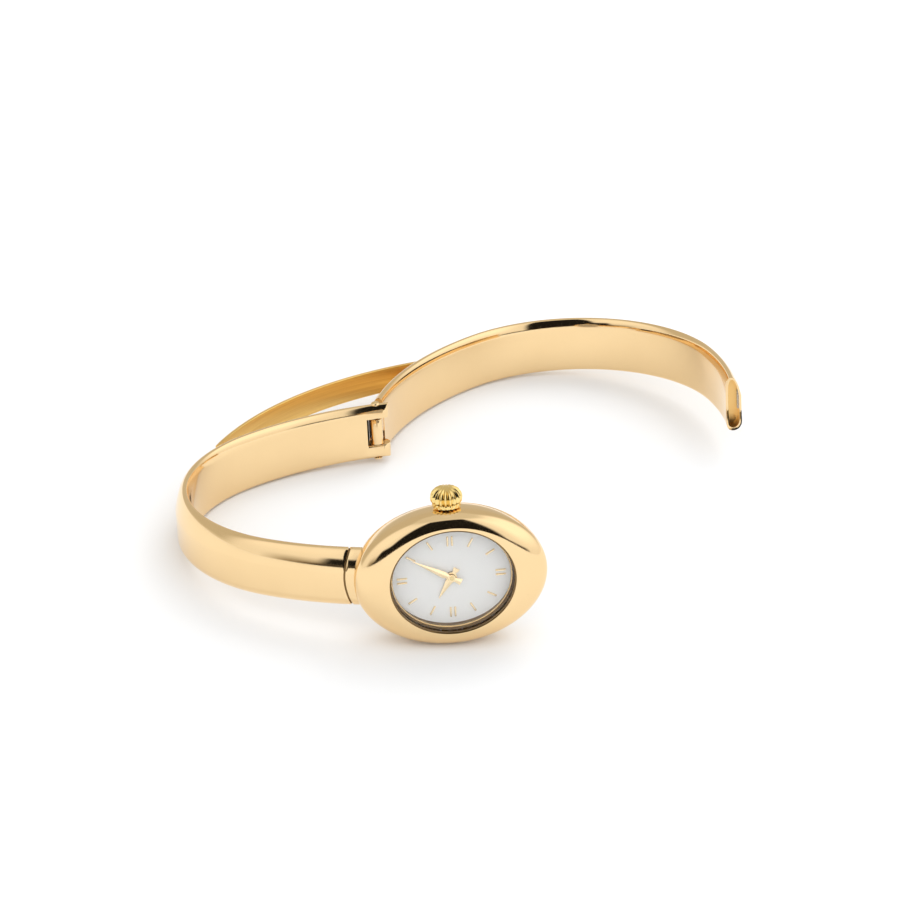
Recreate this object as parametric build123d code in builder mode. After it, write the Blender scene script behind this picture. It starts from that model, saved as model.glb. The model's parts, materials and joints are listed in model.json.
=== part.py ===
from build123d import *
from math import acos, asin, atan, atan2, cos, degrees, hypot, radians, sin
import os

# A small gold bangle watch, lying open on its side as it is laid on a table.
# Every piece is drawn on the closed ring: the ring's axis is Z, the case is at the front (-Y)
# and the hinge at the back. "Depth" in the case counts outward from the band's inner face.
# At the end the opened pieces are swung out and the whole is leant onto its three resting points.

os.makedirs("parts", exist_ok=True)

# Band: an oval of four arcs, flat inside and rounded outside
band_half_length = 28.0
band_half_depth = 21.24
side_radius = 18.2
band_width = 7.06
band_thickness = 1.85
band_outer_round = 1.25
band_inner_round = 0.5
end_gap = 0.35

# Hinge, by the angle of the oval's normal there
hinge_normal = 95.6
hinge_inset = 0.6
barrel_radius = 0.75
ear_reach = 0.75
window_length = 1.3
window_width = 3.5
knuckle_width = 3.3
hinge_pin_radius = 0.35
pin_head_radius = 0.55
pin_head_height = 0.32
pin_dome_share = 0.8
pin_foot_height = 0.2
swing_angle = 67.7

# Case: an oval pebble with a deep-set dial
case_half_width = 11.1
case_half_height = 8.3
case_front = 3.45
case_widest = 1.4
case_back = -1.8
case_back_inset = 0.9
opening_half_width = 7.15
opening_half_height = 6.3
opening_lip = 0.12
cavity_half_width = 7.75
cavity_half_height = 6.9

# Depths of what lies in the case, from the crystal back to the cover
crystal_front = 3.05
crystal_back = 2.3
crystal_bevel = 0.12
dial_front = 1.4
dial_back = 1.2
plate_back = 0.0
bridge_front = -0.95
movement_back = -1.25
plug_front = -1.4
cover_back = -2.3
cover_rim = 0.5
cover_rim_up = 0.25
cover_bevel = 0.25
seal_thickness = 0.25
back_seal_thickness = 0.2
plug_wall = 0.5
dial_sight_half_width = 7.0
dial_sight_half_height = 5.8

# Clearances
run_gap = 0.05
seat_gap = 0.1
side_gap = 0.15

# Tongue of the catch and its socket, on a circle about the hinge pin
mouth_normal = 288.0
mouth_gap = 0.15
tongue_thickness = 0.7
tongue_width = 2.6
tongue_nose = 0.15
tongue_held_angle = 3.8
tongue_free_angle = 0.25
socket_width = 5.4
socket_thickness = 1.25
socket_inner_angle = 4.0
socket_outer_angle = 2.0
leaf_thickness = 0.12
leaf_width = 2.4
leaf_angle = 2.4
leaf_set_in = 0.6

# Link between the case and the fixed half, on the band's own front arc
link_thickness = 1.0
link_width = 3.4
link_free_normal = 248.0
link_sweep = 8.3
link_screw_radius = 0.3
link_screw_head_radius = 0.55
link_screw_head = 0.25
link_screw_across = 9.2
link_screw_tip = 0.0

# Hinge guard: a thin curved blade over the hinge
guard_normal = 133.2
guard_offset = 2.63
guard_radius = 39.9
guard_lean = 38.75
guard_sweep = 53.0
guard_thickness = 0.45
guard_width = 3.2
guard_up = 0.65
guard_corner = 0.6
guard_neck_angle = 1.6
guard_eye_radius = 0.5
guard_eye_width = 1.9
guard_pin_radius = 0.22
bracket_radius = 0.6
bracket_width = 3.5
bracket_slot = 2.1
bracket_web = 0.15

# Crown, stem and tube
stem_depth = 0.5
stem_radius = 0.3
stem_end = 2.4
stem_groove_radius = 0.18
stem_groove_low = 3.35
stem_groove_high = 4.5
crown_radius = 1.85
crown_half_height = 1.28
crown_rim_radius = 1.68
crown_middle = 9.41
collar_radius = 1.62
collar_low = 8.42
collar_high = 8.87
collar_groove = 0.08
flutes = 18
flute_radius = 0.2
flute_ring_radius = 1.76
flute_top = 10.15
flute_start = 10
bore_radius = 0.9
bore_top = 9.12
tube_radius = 0.75
tube_low = 6.95
tube_top = 8.72
crown_seal_low = 8.78
clutch_radius = 0.45
clutch_low = 2.5
clutch_high = 3.1

# Dial markers and hands, clockwise from twelve, which points to -X
marker_half_width = 5.6
marker_half_height = 4.42
marker_length = 1.0
marker_width = 0.15
marker_height = 0.15
marker_pair_pitch = 0.42
hand_thickness = 0.12
hour_hand_depth = 1.6
minute_hand_depth = 1.88
hour_length = 2.95
minute_length = 5.1
hand_width = 0.8
hand_tail = 1.2
shoulder_share = 0.2
shown_hour = 10
shown_minute = 5
hours = 12
hours_per_quarter = 3
minutes = 60

# Gears
centre_back = -0.35
centre_front = -0.2
drive_back = -0.62
drive_front = -0.5
pivot_depth = 0.2
cannon_top = 2.05
motion_floor = 0.55
motion_middle = 0.72
motion_top = 0.95
hour_back = 0.77
hour_top = 1.74
recess_radius = 1.85
hand_boss = 0.12
fine_module = 0.07
motion_module = 0.1
addendum_share = 0.9
dedendum_share = 1.15
tip_share = 0.10
root_share = 0.26
pinion_teeth = 8
centre_teeth = 48
drive_teeth = 40
cannon_teeth = 10
minute_teeth = 30
hour_teeth = 32
arbor_radius = 0.12
pivot_radius = 0.09
cannon_pipe_radius = 0.28
hour_pipe_radius = 0.5
dial_hole_radius = 0.62
drive_direction = -60.0
rotor_direction = 0.0
minute_direction = -20.0

# Rest of the movement, as places across (X) and up (Z) from the dial's centre
plate_half_width = 6.95
plate_half_height = 6.1
pocket_width = 1.15
pocket_height = 2.4
pocket_depth = 0.95
holder_gap = 0.04
battery_radius = 2.4
battery_across = -4.3
battery_front = 0.4
rotor_magnet_radius = 0.5
stator_hole_radius = 0.72
coil_across = 4.9
coil_radius = 0.55
coil_low = -2.6
coil_high = 1.2
core_width = 0.5
core_thickness = 0.3
core_low = -3.2
core_high = 1.8
stator_front = -0.1
stator_back = -0.4
board_thickness = 0.3
board_left = -2.7
board_right = 1.3
board_low = -5.1
board_high = -3.45
quartz_radius = 0.4
quartz_length = 3.0
stator_reach = 0.3
stator_arm_share = 1.2
bridge_margin = 0.14
lever_thickness = 0.18
lever_pin_radius = 0.1
lever_across = 0.32
lever_up = 4.3
lever_length = 1.6
pillar_radius = 0.42
screw_radius = 0.18
screw_head_radius = 0.36
screw_head = 0.14
strap_width = 0.9
strap_thickness = 0.14
bridge_pillars = [(-1.2, 2.0), (1.9, 1.7), (2.6, -4.0)]
strap_pillars = [(battery_across, -3.35), (battery_across, 3.35)]

still = {}
swung = {}
folded = {}

# Centres of the oval's arcs: two side arcs on X, two flat arcs on Y
side_centre = band_half_length - side_radius
flat_radius = (side_centre**2 + band_half_depth**2 - side_radius**2) / (2 * (band_half_depth - side_radius))
flat_centre = flat_radius - band_half_depth
join_angle = degrees(atan2(flat_centre, side_centre))


def oval_point(normal, offset):
    """Point of the band's oval where its outward normal has this angle, moved out by offset."""
    across, along = cos(radians(normal)), sin(radians(normal))
    if abs(along) <= sin(radians(join_angle)):
        centre = (side_centre if across > 0 else -side_centre, 0)
        radius = side_radius + offset
    else:
        centre = (0, -flat_centre if along > 0 else flat_centre)
        radius = flat_radius + offset
    return centre[0] + radius * across, centre[1] + radius * along


def draw_oval(offset):
    """Closed outline of the band's oval, moved out by offset."""
    half_flat = 90 - join_angle
    CenterArc((side_centre, 0), side_radius + offset, -join_angle, 2 * join_angle)
    CenterArc((0, -flat_centre), flat_radius + offset, 90 - half_flat, 2 * half_flat)
    CenterArc((-side_centre, 0), side_radius + offset, 180 - join_angle, 2 * join_angle)
    CenterArc((0, flat_centre), flat_radius + offset, 270 - half_flat, 2 * half_flat)


def draw_sector(centre, inner, outer, start, sweep):
    """Closed outline of a stretch of a round ring."""
    CenterArc(centre, inner, start, sweep)
    CenterArc(centre, outer, start, sweep)
    for angle in (radians(start), radians(start + sweep)):
        Line(
            (centre[0] + inner * cos(angle), centre[1] + inner * sin(angle)),
            (centre[0] + outer * cos(angle), centre[1] + outer * sin(angle)),
        )


def draw_gear(teeth, module, phase):
    """Closed outline of a wheel with straight-flanked teeth, one of them at the phase angle."""
    pitch = 360 / teeth
    tip = module * (teeth / 2 + addendum_share)
    root = module * (teeth / 2 - dedendum_share)
    corners = []
    for tooth in range(teeth):
        for radius, share in ((root, -root_share), (tip, -tip_share), (tip, tip_share), (root, root_share)):
            angle = radians(phase + (tooth + share) * pitch)
            corners.append((radius * cos(angle), radius * sin(angle)))
    Polyline(corners, close=True)


def level(depth, across=0, up=0):
    """Plane that faces out of the dial at this depth."""
    return Plane(origin=(across, -band_half_depth - depth, up), x_dir=(1, 0, 0), z_dir=(0, -1, 0))


def stem_level(up):
    """Plane across the stem at this height, facing up."""
    return Plane(origin=(0, -band_half_depth - stem_depth, up), x_dir=(1, 0, 0), z_dir=(0, 0, 1))


half_width = band_width / 2
hinge_x, hinge_y = oval_point(hinge_normal, hinge_inset)
along_band = hinge_normal - 90
band_direction = (cos(radians(along_band)), sin(radians(along_band)), 0)
away_direction = (-band_direction[0], -band_direction[1], 0)


def hinge_level(up):
    """Plane across the hinge pin at this height, its X along the swing half."""
    return Plane(origin=(hinge_x, hinge_y, up), x_dir=band_direction, z_dir=(0, 0, 1))


# Whole closed ring that both halves are cut from
with BuildPart() as ring:
    with BuildSketch(Plane.XY.offset(-half_width)):
        with BuildLine():
            draw_oval(band_thickness)
        make_face()
        with BuildLine():
            draw_oval(0)
        make_face(mode=Mode.SUBTRACT)
    extrude(amount=band_width)
    outer_radii = (side_radius + band_thickness, flat_radius + band_thickness)
    inner_radii = (side_radius, flat_radius)
    round_edges = ring.edges().filter_by(GeomType.CIRCLE)
    outer_edges = [e for e in round_edges if min(abs(e.radius - r) for r in outer_radii) < seat_gap]
    inner_edges = [e for e in round_edges if min(abs(e.radius - r) for r in inner_radii) < seat_gap]
    fillet(outer_edges, band_outer_round)
    fillet(inner_edges, band_inner_round)

mouth_x, mouth_y = oval_point(mouth_normal, band_thickness / 2)
mouth_radius = hypot(mouth_x - hinge_x, mouth_y - hinge_y)
mouth_angle = degrees(atan2(mouth_y - hinge_y, mouth_x - hinge_x))
band_middle_radius = flat_radius + band_thickness / 2


def draw_tongue(half_thickness, start, sweep):
    """Outline on the circle about the hinge pin, measured from the socket's mouth."""
    draw_sector(
        (hinge_x, hinge_y), mouth_radius - half_thickness, mouth_radius + half_thickness,
        mouth_angle + start, sweep,
    )


def draw_link():
    """Outline of the link, on the band's front arc."""
    draw_sector(
        (0, flat_centre), band_middle_radius - link_thickness / 2, band_middle_radius + link_thickness / 2,
        link_free_normal, link_sweep,
    )


# Fixed half: from the case round the left side to the two rounded ears of the hinge
ear_radius = band_thickness / 2
ear_centre = (ear_reach, ear_radius - hinge_inset)
ear_tip = ear_reach + ear_radius
ear_sweep = hypot(ear_tip, ear_centre[1]) + side_gap
ear_plane = hinge_level(0).offset(-half_width)
with BuildPart() as fixed_half:
    add(ring.part)
    split(bisect_by=Plane(origin=hinge_level(0).from_local_coords((ear_tip, 0, 0)), z_dir=away_direction))
    with BuildSketch(level(-band_half_depth)):
        Ellipse(case_half_width + end_gap, case_half_height + end_gap)
    extrude(amount=2 * band_half_depth, mode=Mode.SUBTRACT)
    with BuildSketch(ear_plane):
        with Locations(ear_centre):
            Rectangle(2 * ear_radius, 4 * ear_radius, align=(Align.MIN, Align.CENTER))
            Circle(ear_radius, mode=Mode.SUBTRACT)
        Circle(hinge_pin_radius)
    extrude(amount=band_width, mode=Mode.SUBTRACT)
    with BuildSketch(hinge_level(-window_width / 2)):
        with Locations((-window_length, 0)):
            Rectangle(window_length + 2 * ear_tip, 4 * band_thickness, align=(Align.MIN, Align.CENTER))
    extrude(amount=window_width, mode=Mode.SUBTRACT)
    with BuildSketch(Plane.XY.offset(-link_width / 2)):
        with BuildLine():
            draw_link()
        make_face()
    extrude(amount=link_width, mode=Mode.SUBTRACT)
still["fixed_half"] = fixed_half

# Swing half: a knuckle between the ears, hollow at its free end
with BuildPart() as swing_half:
    add(ring.part)
    split(bisect_by=Plane(origin=(hinge_x, hinge_y, 0), z_dir=band_direction))
    with BuildSketch(level(-band_half_depth)):
        Ellipse(case_half_width + mouth_gap, case_half_height + mouth_gap)
    extrude(amount=2 * band_half_depth, mode=Mode.SUBTRACT)
    with BuildSketch(ear_plane):
        Circle(ear_sweep)
    extrude(amount=band_width, mode=Mode.SUBTRACT)
    with BuildSketch(hinge_level(-knuckle_width / 2)):
        Circle(barrel_radius)
        with Locations((0, -hinge_inset)):
            Rectangle(ear_sweep + side_gap, hinge_inset + barrel_radius, align=(Align.MIN, Align.MIN))
        Circle(hinge_pin_radius + run_gap, mode=Mode.SUBTRACT)
    extrude(amount=knuckle_width)
    with BuildSketch(Plane.XY.offset(-socket_width / 2)):
        with BuildLine():
            draw_sector(
                (0, flat_centre), band_middle_radius - socket_thickness / 2,
                band_middle_radius + socket_thickness / 2, mouth_normal - socket_outer_angle,
                socket_outer_angle + socket_inner_angle,
            )
        make_face()
    extrude(amount=socket_width, mode=Mode.SUBTRACT)
swung["swing_half"] = swing_half

# Hinge pin, with a low domed head above and a small foot below
with BuildPart() as hinge_pin:
    with BuildSketch(hinge_level(-half_width - pin_foot_height)):
        Circle(hinge_pin_radius)
    extrude(amount=band_width + pin_foot_height + pin_head_height / 2)
    with BuildSketch(hinge_level(-half_width - pin_foot_height)):
        Circle(pin_head_radius)
    extrude(amount=pin_foot_height)
    with BuildSketch(hinge_level(half_width)):
        Circle(pin_head_radius)
    extrude(amount=pin_head_height)
    fillet(hinge_pin.edges().group_by(Axis.Z)[-1], pin_head_height * pin_dome_share)
still["hinge_pin"] = hinge_pin


def cut_link_screws():
    """Holes for the two screws from the back of the case into the link and the tongue."""
    with BuildSketch(level(case_back)) as holes:
        with Locations((-link_screw_across, 0), (link_screw_across, 0)):
            Circle(link_screw_radius)
    extrude(holes.sketch, amount=link_screw_tip - case_back, mode=Mode.SUBTRACT)


# Leaf spring on the socket's outer wall, which presses on the tongue
with BuildPart() as catch_leaf:
    with BuildSketch(Plane.XY.offset(-leaf_width / 2)):
        with BuildLine():
            draw_sector(
                (0, flat_centre), band_middle_radius + socket_thickness / 2 - leaf_thickness,
                band_middle_radius + socket_thickness / 2, mouth_normal + leaf_set_in, leaf_angle,
            )
        make_face()
    extrude(amount=leaf_width)
swung["catch_leaf"] = catch_leaf

# Tongue that the socket closes over, held in the case's right side
with BuildPart() as catch_tongue:
    with BuildSketch(Plane.XY.offset(-tongue_width / 2)):
        with BuildLine():
            draw_tongue(tongue_thickness / 2, -tongue_held_angle, tongue_held_angle + tongue_free_angle)
        make_face()
    extrude(amount=tongue_width)
    cut_link_screws()
    fillet(catch_tongue.edges().filter_by(Axis.Z).sort_by(Axis.X)[-2:], tongue_nose)
still["catch_tongue"] = catch_tongue

# Link that carries the case on the fixed half
with BuildPart() as band_link:
    with BuildSketch(Plane.XY.offset(-link_width / 2)):
        with BuildLine():
            draw_link()
        make_face()
    extrude(amount=link_width)
    cut_link_screws()
still["band_link"] = band_link

# Guard: bracket, pin and blade
guard_x, guard_y = oval_point(guard_normal, guard_offset)
guard_start = guard_lean + 90 + guard_sweep / 2
guard_centre = (
    guard_x - guard_radius * cos(radians(guard_start)),
    guard_y - guard_radius * sin(radians(guard_start)),
)


def guard_level(up):
    """Plane across the guard's pin at this height, its X pointing out of the band."""
    outward = (cos(radians(guard_normal)), sin(radians(guard_normal)), 0)
    return Plane(origin=(guard_x, guard_y, up), x_dir=outward, z_dir=(0, 0, 1))


with BuildPart() as guard_bracket:
    with BuildSketch(guard_level(-bracket_width / 2)):
        Circle(bracket_radius)
        Rectangle(guard_offset, 2 * bracket_radius, align=(Align.MAX, Align.CENTER))
        Circle(guard_pin_radius, mode=Mode.SUBTRACT)
    extrude(amount=bracket_width)
    with BuildSketch(guard_level(-bracket_slot / 2)):
        with Locations((band_thickness + bracket_web - guard_offset, 0)):
            Rectangle(guard_offset, 4 * bracket_radius, align=(Align.MIN, Align.CENTER))
    extrude(amount=bracket_slot, mode=Mode.SUBTRACT)
    add(ring.part, mode=Mode.SUBTRACT)
    with BuildSketch(Plane.XY.offset(-half_width)):
        with BuildLine():
            draw_oval(band_thickness / 2)
        make_face()
    extrude(amount=band_width, mode=Mode.SUBTRACT)
still["guard_bracket"] = guard_bracket

with BuildPart() as guard_pin:
    with BuildSketch(guard_level(-bracket_width / 2)):
        Circle(guard_pin_radius)
    extrude(amount=bracket_width)
still["guard_pin"] = guard_pin

with BuildPart() as hinge_guard:
    blade_inner = guard_radius - guard_thickness / 2
    blade_outer = guard_radius + guard_thickness / 2
    with BuildSketch(Plane.XY.offset(guard_up - guard_width / 2)):
        with BuildLine():
            draw_sector(
                guard_centre, blade_inner, blade_outer, guard_start - guard_sweep,
                guard_sweep - guard_neck_angle,
            )
        make_face()
    extrude(amount=guard_width)
    fillet(hinge_guard.edges().filter_by(lambda e: e.length < 2 * guard_thickness), guard_corner)
    with BuildSketch(Plane.XY.offset(-guard_eye_width / 2)):
        with BuildLine():
            draw_sector(
                guard_centre, blade_inner, blade_outer, guard_start - guard_sweep / 2, guard_sweep / 2,
            )
        make_face()
        with Locations((guard_x, guard_y)):
            Circle(guard_eye_radius)
            Circle(guard_pin_radius + run_gap, mode=Mode.SUBTRACT)
    extrude(amount=guard_eye_width)
folded["hinge_guard"] = hinge_guard

# Case body: ovals lofted from the back rim over the widest line to the lip of the opening
back_shares = [1, 0.87, 0.6, 0.3]
front_shares = [0, 0.2, 0.4, 0.6, 0.78, 0.9, 0.97, 1]
with BuildPart() as case_body:
    for share in back_shares:
        inset = case_back_inset * (1 - (1 - share**2) ** 0.5)
        with BuildSketch(level(case_widest + (case_back - case_widest) * share)):
            Ellipse(case_half_width - inset, case_half_height - inset)
    for share in front_shares:
        left = (1 - share**2) ** 0.5
        lip_width = opening_half_width + opening_lip
        lip_height = opening_half_height + opening_lip
        with BuildSketch(level(case_widest + (case_front - case_widest) * share)):
            Ellipse(
                lip_width + (case_half_width - lip_width) * left,
                lip_height + (case_half_height - lip_height) * left,
            )
    loft()
    with BuildSketch(level(case_back)):
        Ellipse(cavity_half_width, cavity_half_height)
    extrude(amount=crystal_front - case_back, mode=Mode.SUBTRACT)
    with BuildSketch(level(crystal_front)):
        Ellipse(opening_half_width, opening_half_height)
    extrude(amount=case_front - crystal_front, mode=Mode.SUBTRACT)
    with BuildSketch(stem_level(cavity_half_height - tube_radius)):
        Circle(tube_radius)
    extrude(amount=case_half_height, mode=Mode.SUBTRACT)
    with BuildSketch(Plane.XY.offset(-link_width / 2)):
        with BuildLine():
            draw_link()
        make_face()
    extrude(amount=link_width, mode=Mode.SUBTRACT)
    with BuildSketch(Plane.XY.offset(-tongue_width / 2)):
        with BuildLine():
            draw_tongue(tongue_thickness / 2, -tongue_held_angle, tongue_held_angle)
        make_face()
    extrude(amount=tongue_width, mode=Mode.SUBTRACT)
    cut_link_screws()
    with BuildSketch(level(case_back)):
        with Locations((-link_screw_across, 0), (link_screw_across, 0)):
            Circle(link_screw_head_radius)
    extrude(amount=link_screw_head, mode=Mode.SUBTRACT)
still["case_body"] = case_body

# Two screws under the cover that hold the link and the tongue
with BuildPart() as link_screws:
    with BuildSketch(level(case_back)):
        with Locations((-link_screw_across, 0), (link_screw_across, 0)):
            Circle(link_screw_head_radius)
    extrude(amount=link_screw_head)
    with BuildSketch(level(case_back)):
        with Locations((-link_screw_across, 0), (link_screw_across, 0)):
            Rectangle(2 * link_screw_head_radius, link_screw_radius / 2)
    extrude(amount=link_screw_head / 2, mode=Mode.SUBTRACT)
    with BuildSketch(level(case_back + link_screw_head / 2)):
        with Locations((-link_screw_across, 0), (link_screw_across, 0)):
            Circle(link_screw_radius)
    extrude(amount=link_screw_tip - case_back - link_screw_head / 2)
still["link_screws"] = link_screws

# Cover that snaps in from behind, flat on the outside, and its seal
with BuildPart() as case_cover:
    with BuildSketch(level(cover_back)):
        Ellipse(
            case_half_width - case_back_inset - cover_rim, case_half_height - case_back_inset - cover_rim_up,
        )
    extrude(amount=case_back - cover_back)
    chamfer(case_cover.edges().group_by(Axis.Y)[-1], cover_bevel)
    plug_half_width = cavity_half_width - back_seal_thickness
    plug_half_height = cavity_half_height - back_seal_thickness
    with BuildSketch(level(case_back)):
        Ellipse(plug_half_width, plug_half_height)
        Ellipse(plug_half_width - plug_wall, plug_half_height - plug_wall, mode=Mode.SUBTRACT)
    extrude(amount=plug_front - case_back)
still["case_cover"] = case_cover

with BuildPart() as cover_seal:
    with BuildSketch(level(case_back)):
        Ellipse(cavity_half_width, cavity_half_height)
        Ellipse(plug_half_width, plug_half_height, mode=Mode.SUBTRACT)
    extrude(amount=plug_front - case_back)
still["cover_seal"] = cover_seal

# Crystal, pressed up against the opening's lip in its seal
with BuildPart() as crystal:
    with BuildSketch(level(crystal_back)):
        Ellipse(cavity_half_width - seal_thickness, cavity_half_height - seal_thickness)
    extrude(amount=crystal_front - crystal_back)
    chamfer(crystal.edges().group_by(Axis.Y)[0], crystal_bevel)
still["crystal"] = crystal

with BuildPart() as crystal_seal:
    with BuildSketch(level(crystal_back)):
        Ellipse(cavity_half_width, cavity_half_height)
        Ellipse(cavity_half_width - seal_thickness, cavity_half_height - seal_thickness, mode=Mode.SUBTRACT)
    extrude(amount=crystal_front - crystal_back)
still["crystal_seal"] = crystal_seal

# Sloping ring between crystal and dial
with BuildPart() as dial_ring:
    with BuildSketch(level(dial_front)):
        Ellipse(cavity_half_width - run_gap, cavity_half_height - run_gap)
    extrude(amount=crystal_back - dial_front)
    with BuildSketch(level(dial_front)):
        Ellipse(dial_sight_half_width, dial_sight_half_height)
    with BuildSketch(level(crystal_back)):
        Ellipse(opening_half_width - run_gap, opening_half_height - run_gap)
    loft(mode=Mode.SUBTRACT)
still["dial_ring"] = dial_ring

with BuildPart() as dial:
    with BuildSketch(level(dial_back)):
        Ellipse(cavity_half_width - run_gap, cavity_half_height - run_gap)
        Circle(dial_hole_radius, mode=Mode.SUBTRACT)
    extrude(amount=dial_front - dial_back)
still["dial"] = dial


def hour_angle(hour):
    """Direction of an hour on the dial, in degrees from +X; twelve points to -X and three up."""
    return 180 - 360 * hour / hours


# Bars at the hours, doubled at the quarters
with BuildPart() as hour_markers:
    with BuildSketch(level(dial_front)):
        for hour in range(hours):
            angle = radians(hour_angle(hour))
            ring_radius = 1 / hypot(cos(angle) / marker_half_width, sin(angle) / marker_half_height)
            shifts = (-marker_pair_pitch / 2, marker_pair_pitch / 2) if hour % hours_per_quarter == 0 else (0,)
            for shift in shifts:
                spot = (
                    ring_radius * cos(angle) - shift * sin(angle),
                    ring_radius * sin(angle) + shift * cos(angle),
                )
                with Locations(Location(spot, hour_angle(hour))):
                    Rectangle(marker_length, marker_width)
    extrude(amount=marker_height)
still["hour_markers"] = hour_markers

turning = {"minute": {}, "hour": {}, "minute_wheel": {}, "drive": {}, "rotor": {}, "crown": {}}


def draw_hand(length, direction, hole_radius):
    """Leaf-shaped hand with a pointed tail, its hole at the dial's centre."""
    ahead = (cos(radians(direction)), sin(radians(direction)))
    aside = (-ahead[1], ahead[0])
    shoulder = length * shoulder_share
    corners = []
    for forward, sideways in (
        (length, 0), (shoulder, hand_width / 2), (hole_radius, hand_width / 4), (-hand_tail, hand_width / 2),
        (-hand_tail, -hand_width / 2), (hole_radius, -hand_width / 4), (shoulder, -hand_width / 2),
    ):
        corners.append((
            forward * ahead[0] + sideways * aside[0], forward * ahead[1] + sideways * aside[1],
        ))
    Polygon(*corners, align=None)


minute_angle = 180 - 360 * shown_minute / minutes
shown_hour_angle = hour_angle(shown_hour + shown_minute / minutes)
with BuildPart() as minute_hand:
    with BuildSketch(level(minute_hand_depth)):
        draw_hand(minute_length, minute_angle, cannon_pipe_radius)
        Circle(cannon_pipe_radius + hand_boss)
        Circle(cannon_pipe_radius, mode=Mode.SUBTRACT)
    extrude(amount=hand_thickness)
turning["minute"]["minute_hand"] = minute_hand

with BuildPart() as hour_hand:
    with BuildSketch(level(hour_hand_depth)):
        draw_hand(hour_length, shown_hour_angle, hour_pipe_radius)
        Circle(hour_pipe_radius + hand_boss)
        Circle(hour_pipe_radius, mode=Mode.SUBTRACT)
    extrude(amount=hand_thickness)
turning["hour"]["hour_hand"] = hour_hand

# Places of the wheels, each as far from its driver as the two pitch circles ask
drive_distance = fine_module * (centre_teeth + pinion_teeth) / 2
rotor_distance = fine_module * (drive_teeth + pinion_teeth) / 2
minute_distance = motion_module * (cannon_teeth + minute_teeth) / 2
drive_spot = (drive_distance * cos(radians(drive_direction)), drive_distance * sin(radians(drive_direction)))
rotor_spot = (
    drive_spot[0] + rotor_distance * cos(radians(rotor_direction)),
    drive_spot[1] + rotor_distance * sin(radians(rotor_direction)),
)
minute_spot = (
    minute_distance * cos(radians(minute_direction)), minute_distance * sin(radians(minute_direction)),
)


def facing_gap(teeth, direction):
    """Phase that turns the gap between two teeth towards a driver in this direction."""
    return direction + 180 + 180 / teeth


def add_wheel(spot, back, front, teeth, module, phase):
    """Toothed disc between two depths, its axle at this spot behind the dial."""
    with BuildSketch(level(back, *spot)) as outline:
        with BuildLine():
            draw_gear(teeth, module, phase)
        make_face()
    extrude(outline.sketch, amount=front - back)


def add_axle(spot, back, front, radius):
    """Round axle between two depths."""
    with BuildSketch(level(back, *spot)) as outline:
        Circle(radius)
    extrude(outline.sketch, amount=front - back)


def cut_hole(spot, back, front, radius):
    """Round hole between two depths."""
    with BuildSketch(level(back, *spot)) as outline:
        Circle(radius)
    extrude(outline.sketch, amount=front - back, mode=Mode.SUBTRACT)


# Centre wheel and its arbor, which carries the cannon pinion and the minute hand
dial_centre = (0, 0)
with BuildPart() as centre_wheel:
    add_wheel(dial_centre, centre_back, centre_front, centre_teeth, fine_module, drive_direction)
    add_axle(dial_centre, bridge_front - pivot_depth, cannon_top, arbor_radius)
turning["minute"]["centre_wheel"] = centre_wheel

with BuildPart() as cannon_pinion:
    add_wheel(dial_centre, motion_floor, motion_middle, cannon_teeth, motion_module, minute_direction)
    add_axle(dial_centre, motion_floor, cannon_top, cannon_pipe_radius)
    cut_hole(dial_centre, motion_floor, cannon_top, arbor_radius)
turning["minute"]["cannon_pinion"] = cannon_pinion

with BuildPart() as minute_wheel:
    phase = facing_gap(minute_teeth, minute_direction)
    add_wheel(minute_spot, motion_floor, motion_middle, minute_teeth, motion_module, phase)
    add_wheel(minute_spot, motion_middle, motion_top, pinion_teeth, motion_module, minute_direction + 180)
    cut_hole(minute_spot, motion_floor, motion_top, arbor_radius + run_gap / 2)
turning["minute_wheel"]["minute_wheel"] = minute_wheel

with BuildPart() as hour_wheel:
    phase = facing_gap(hour_teeth, minute_direction + 180)
    add_wheel(dial_centre, hour_back, motion_top, hour_teeth, motion_module, phase)
    add_axle(dial_centre, hour_back, hour_top, hour_pipe_radius)
    cut_hole(dial_centre, hour_back, hour_top, cannon_pipe_radius + run_gap)
turning["hour"]["hour_wheel"] = hour_wheel

with BuildPart() as drive_wheel:
    phase = facing_gap(pinion_teeth, drive_direction)
    add_wheel(drive_spot, centre_back, centre_front, pinion_teeth, fine_module, phase)
    add_wheel(drive_spot, drive_back, drive_front, drive_teeth, fine_module, rotor_direction)
    add_axle(drive_spot, bridge_front - pivot_depth, plate_back + pivot_depth, pivot_radius)
turning["drive"]["drive_wheel"] = drive_wheel

with BuildPart() as rotor:
    phase = facing_gap(pinion_teeth, rotor_direction)
    add_wheel(rotor_spot, drive_back, drive_front, pinion_teeth, fine_module, phase)
    add_axle(rotor_spot, drive_front, stator_front, rotor_magnet_radius)
    add_axle(rotor_spot, bridge_front - pivot_depth, plate_back + pivot_depth, pivot_radius)
turning["rotor"]["rotor"] = rotor

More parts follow.
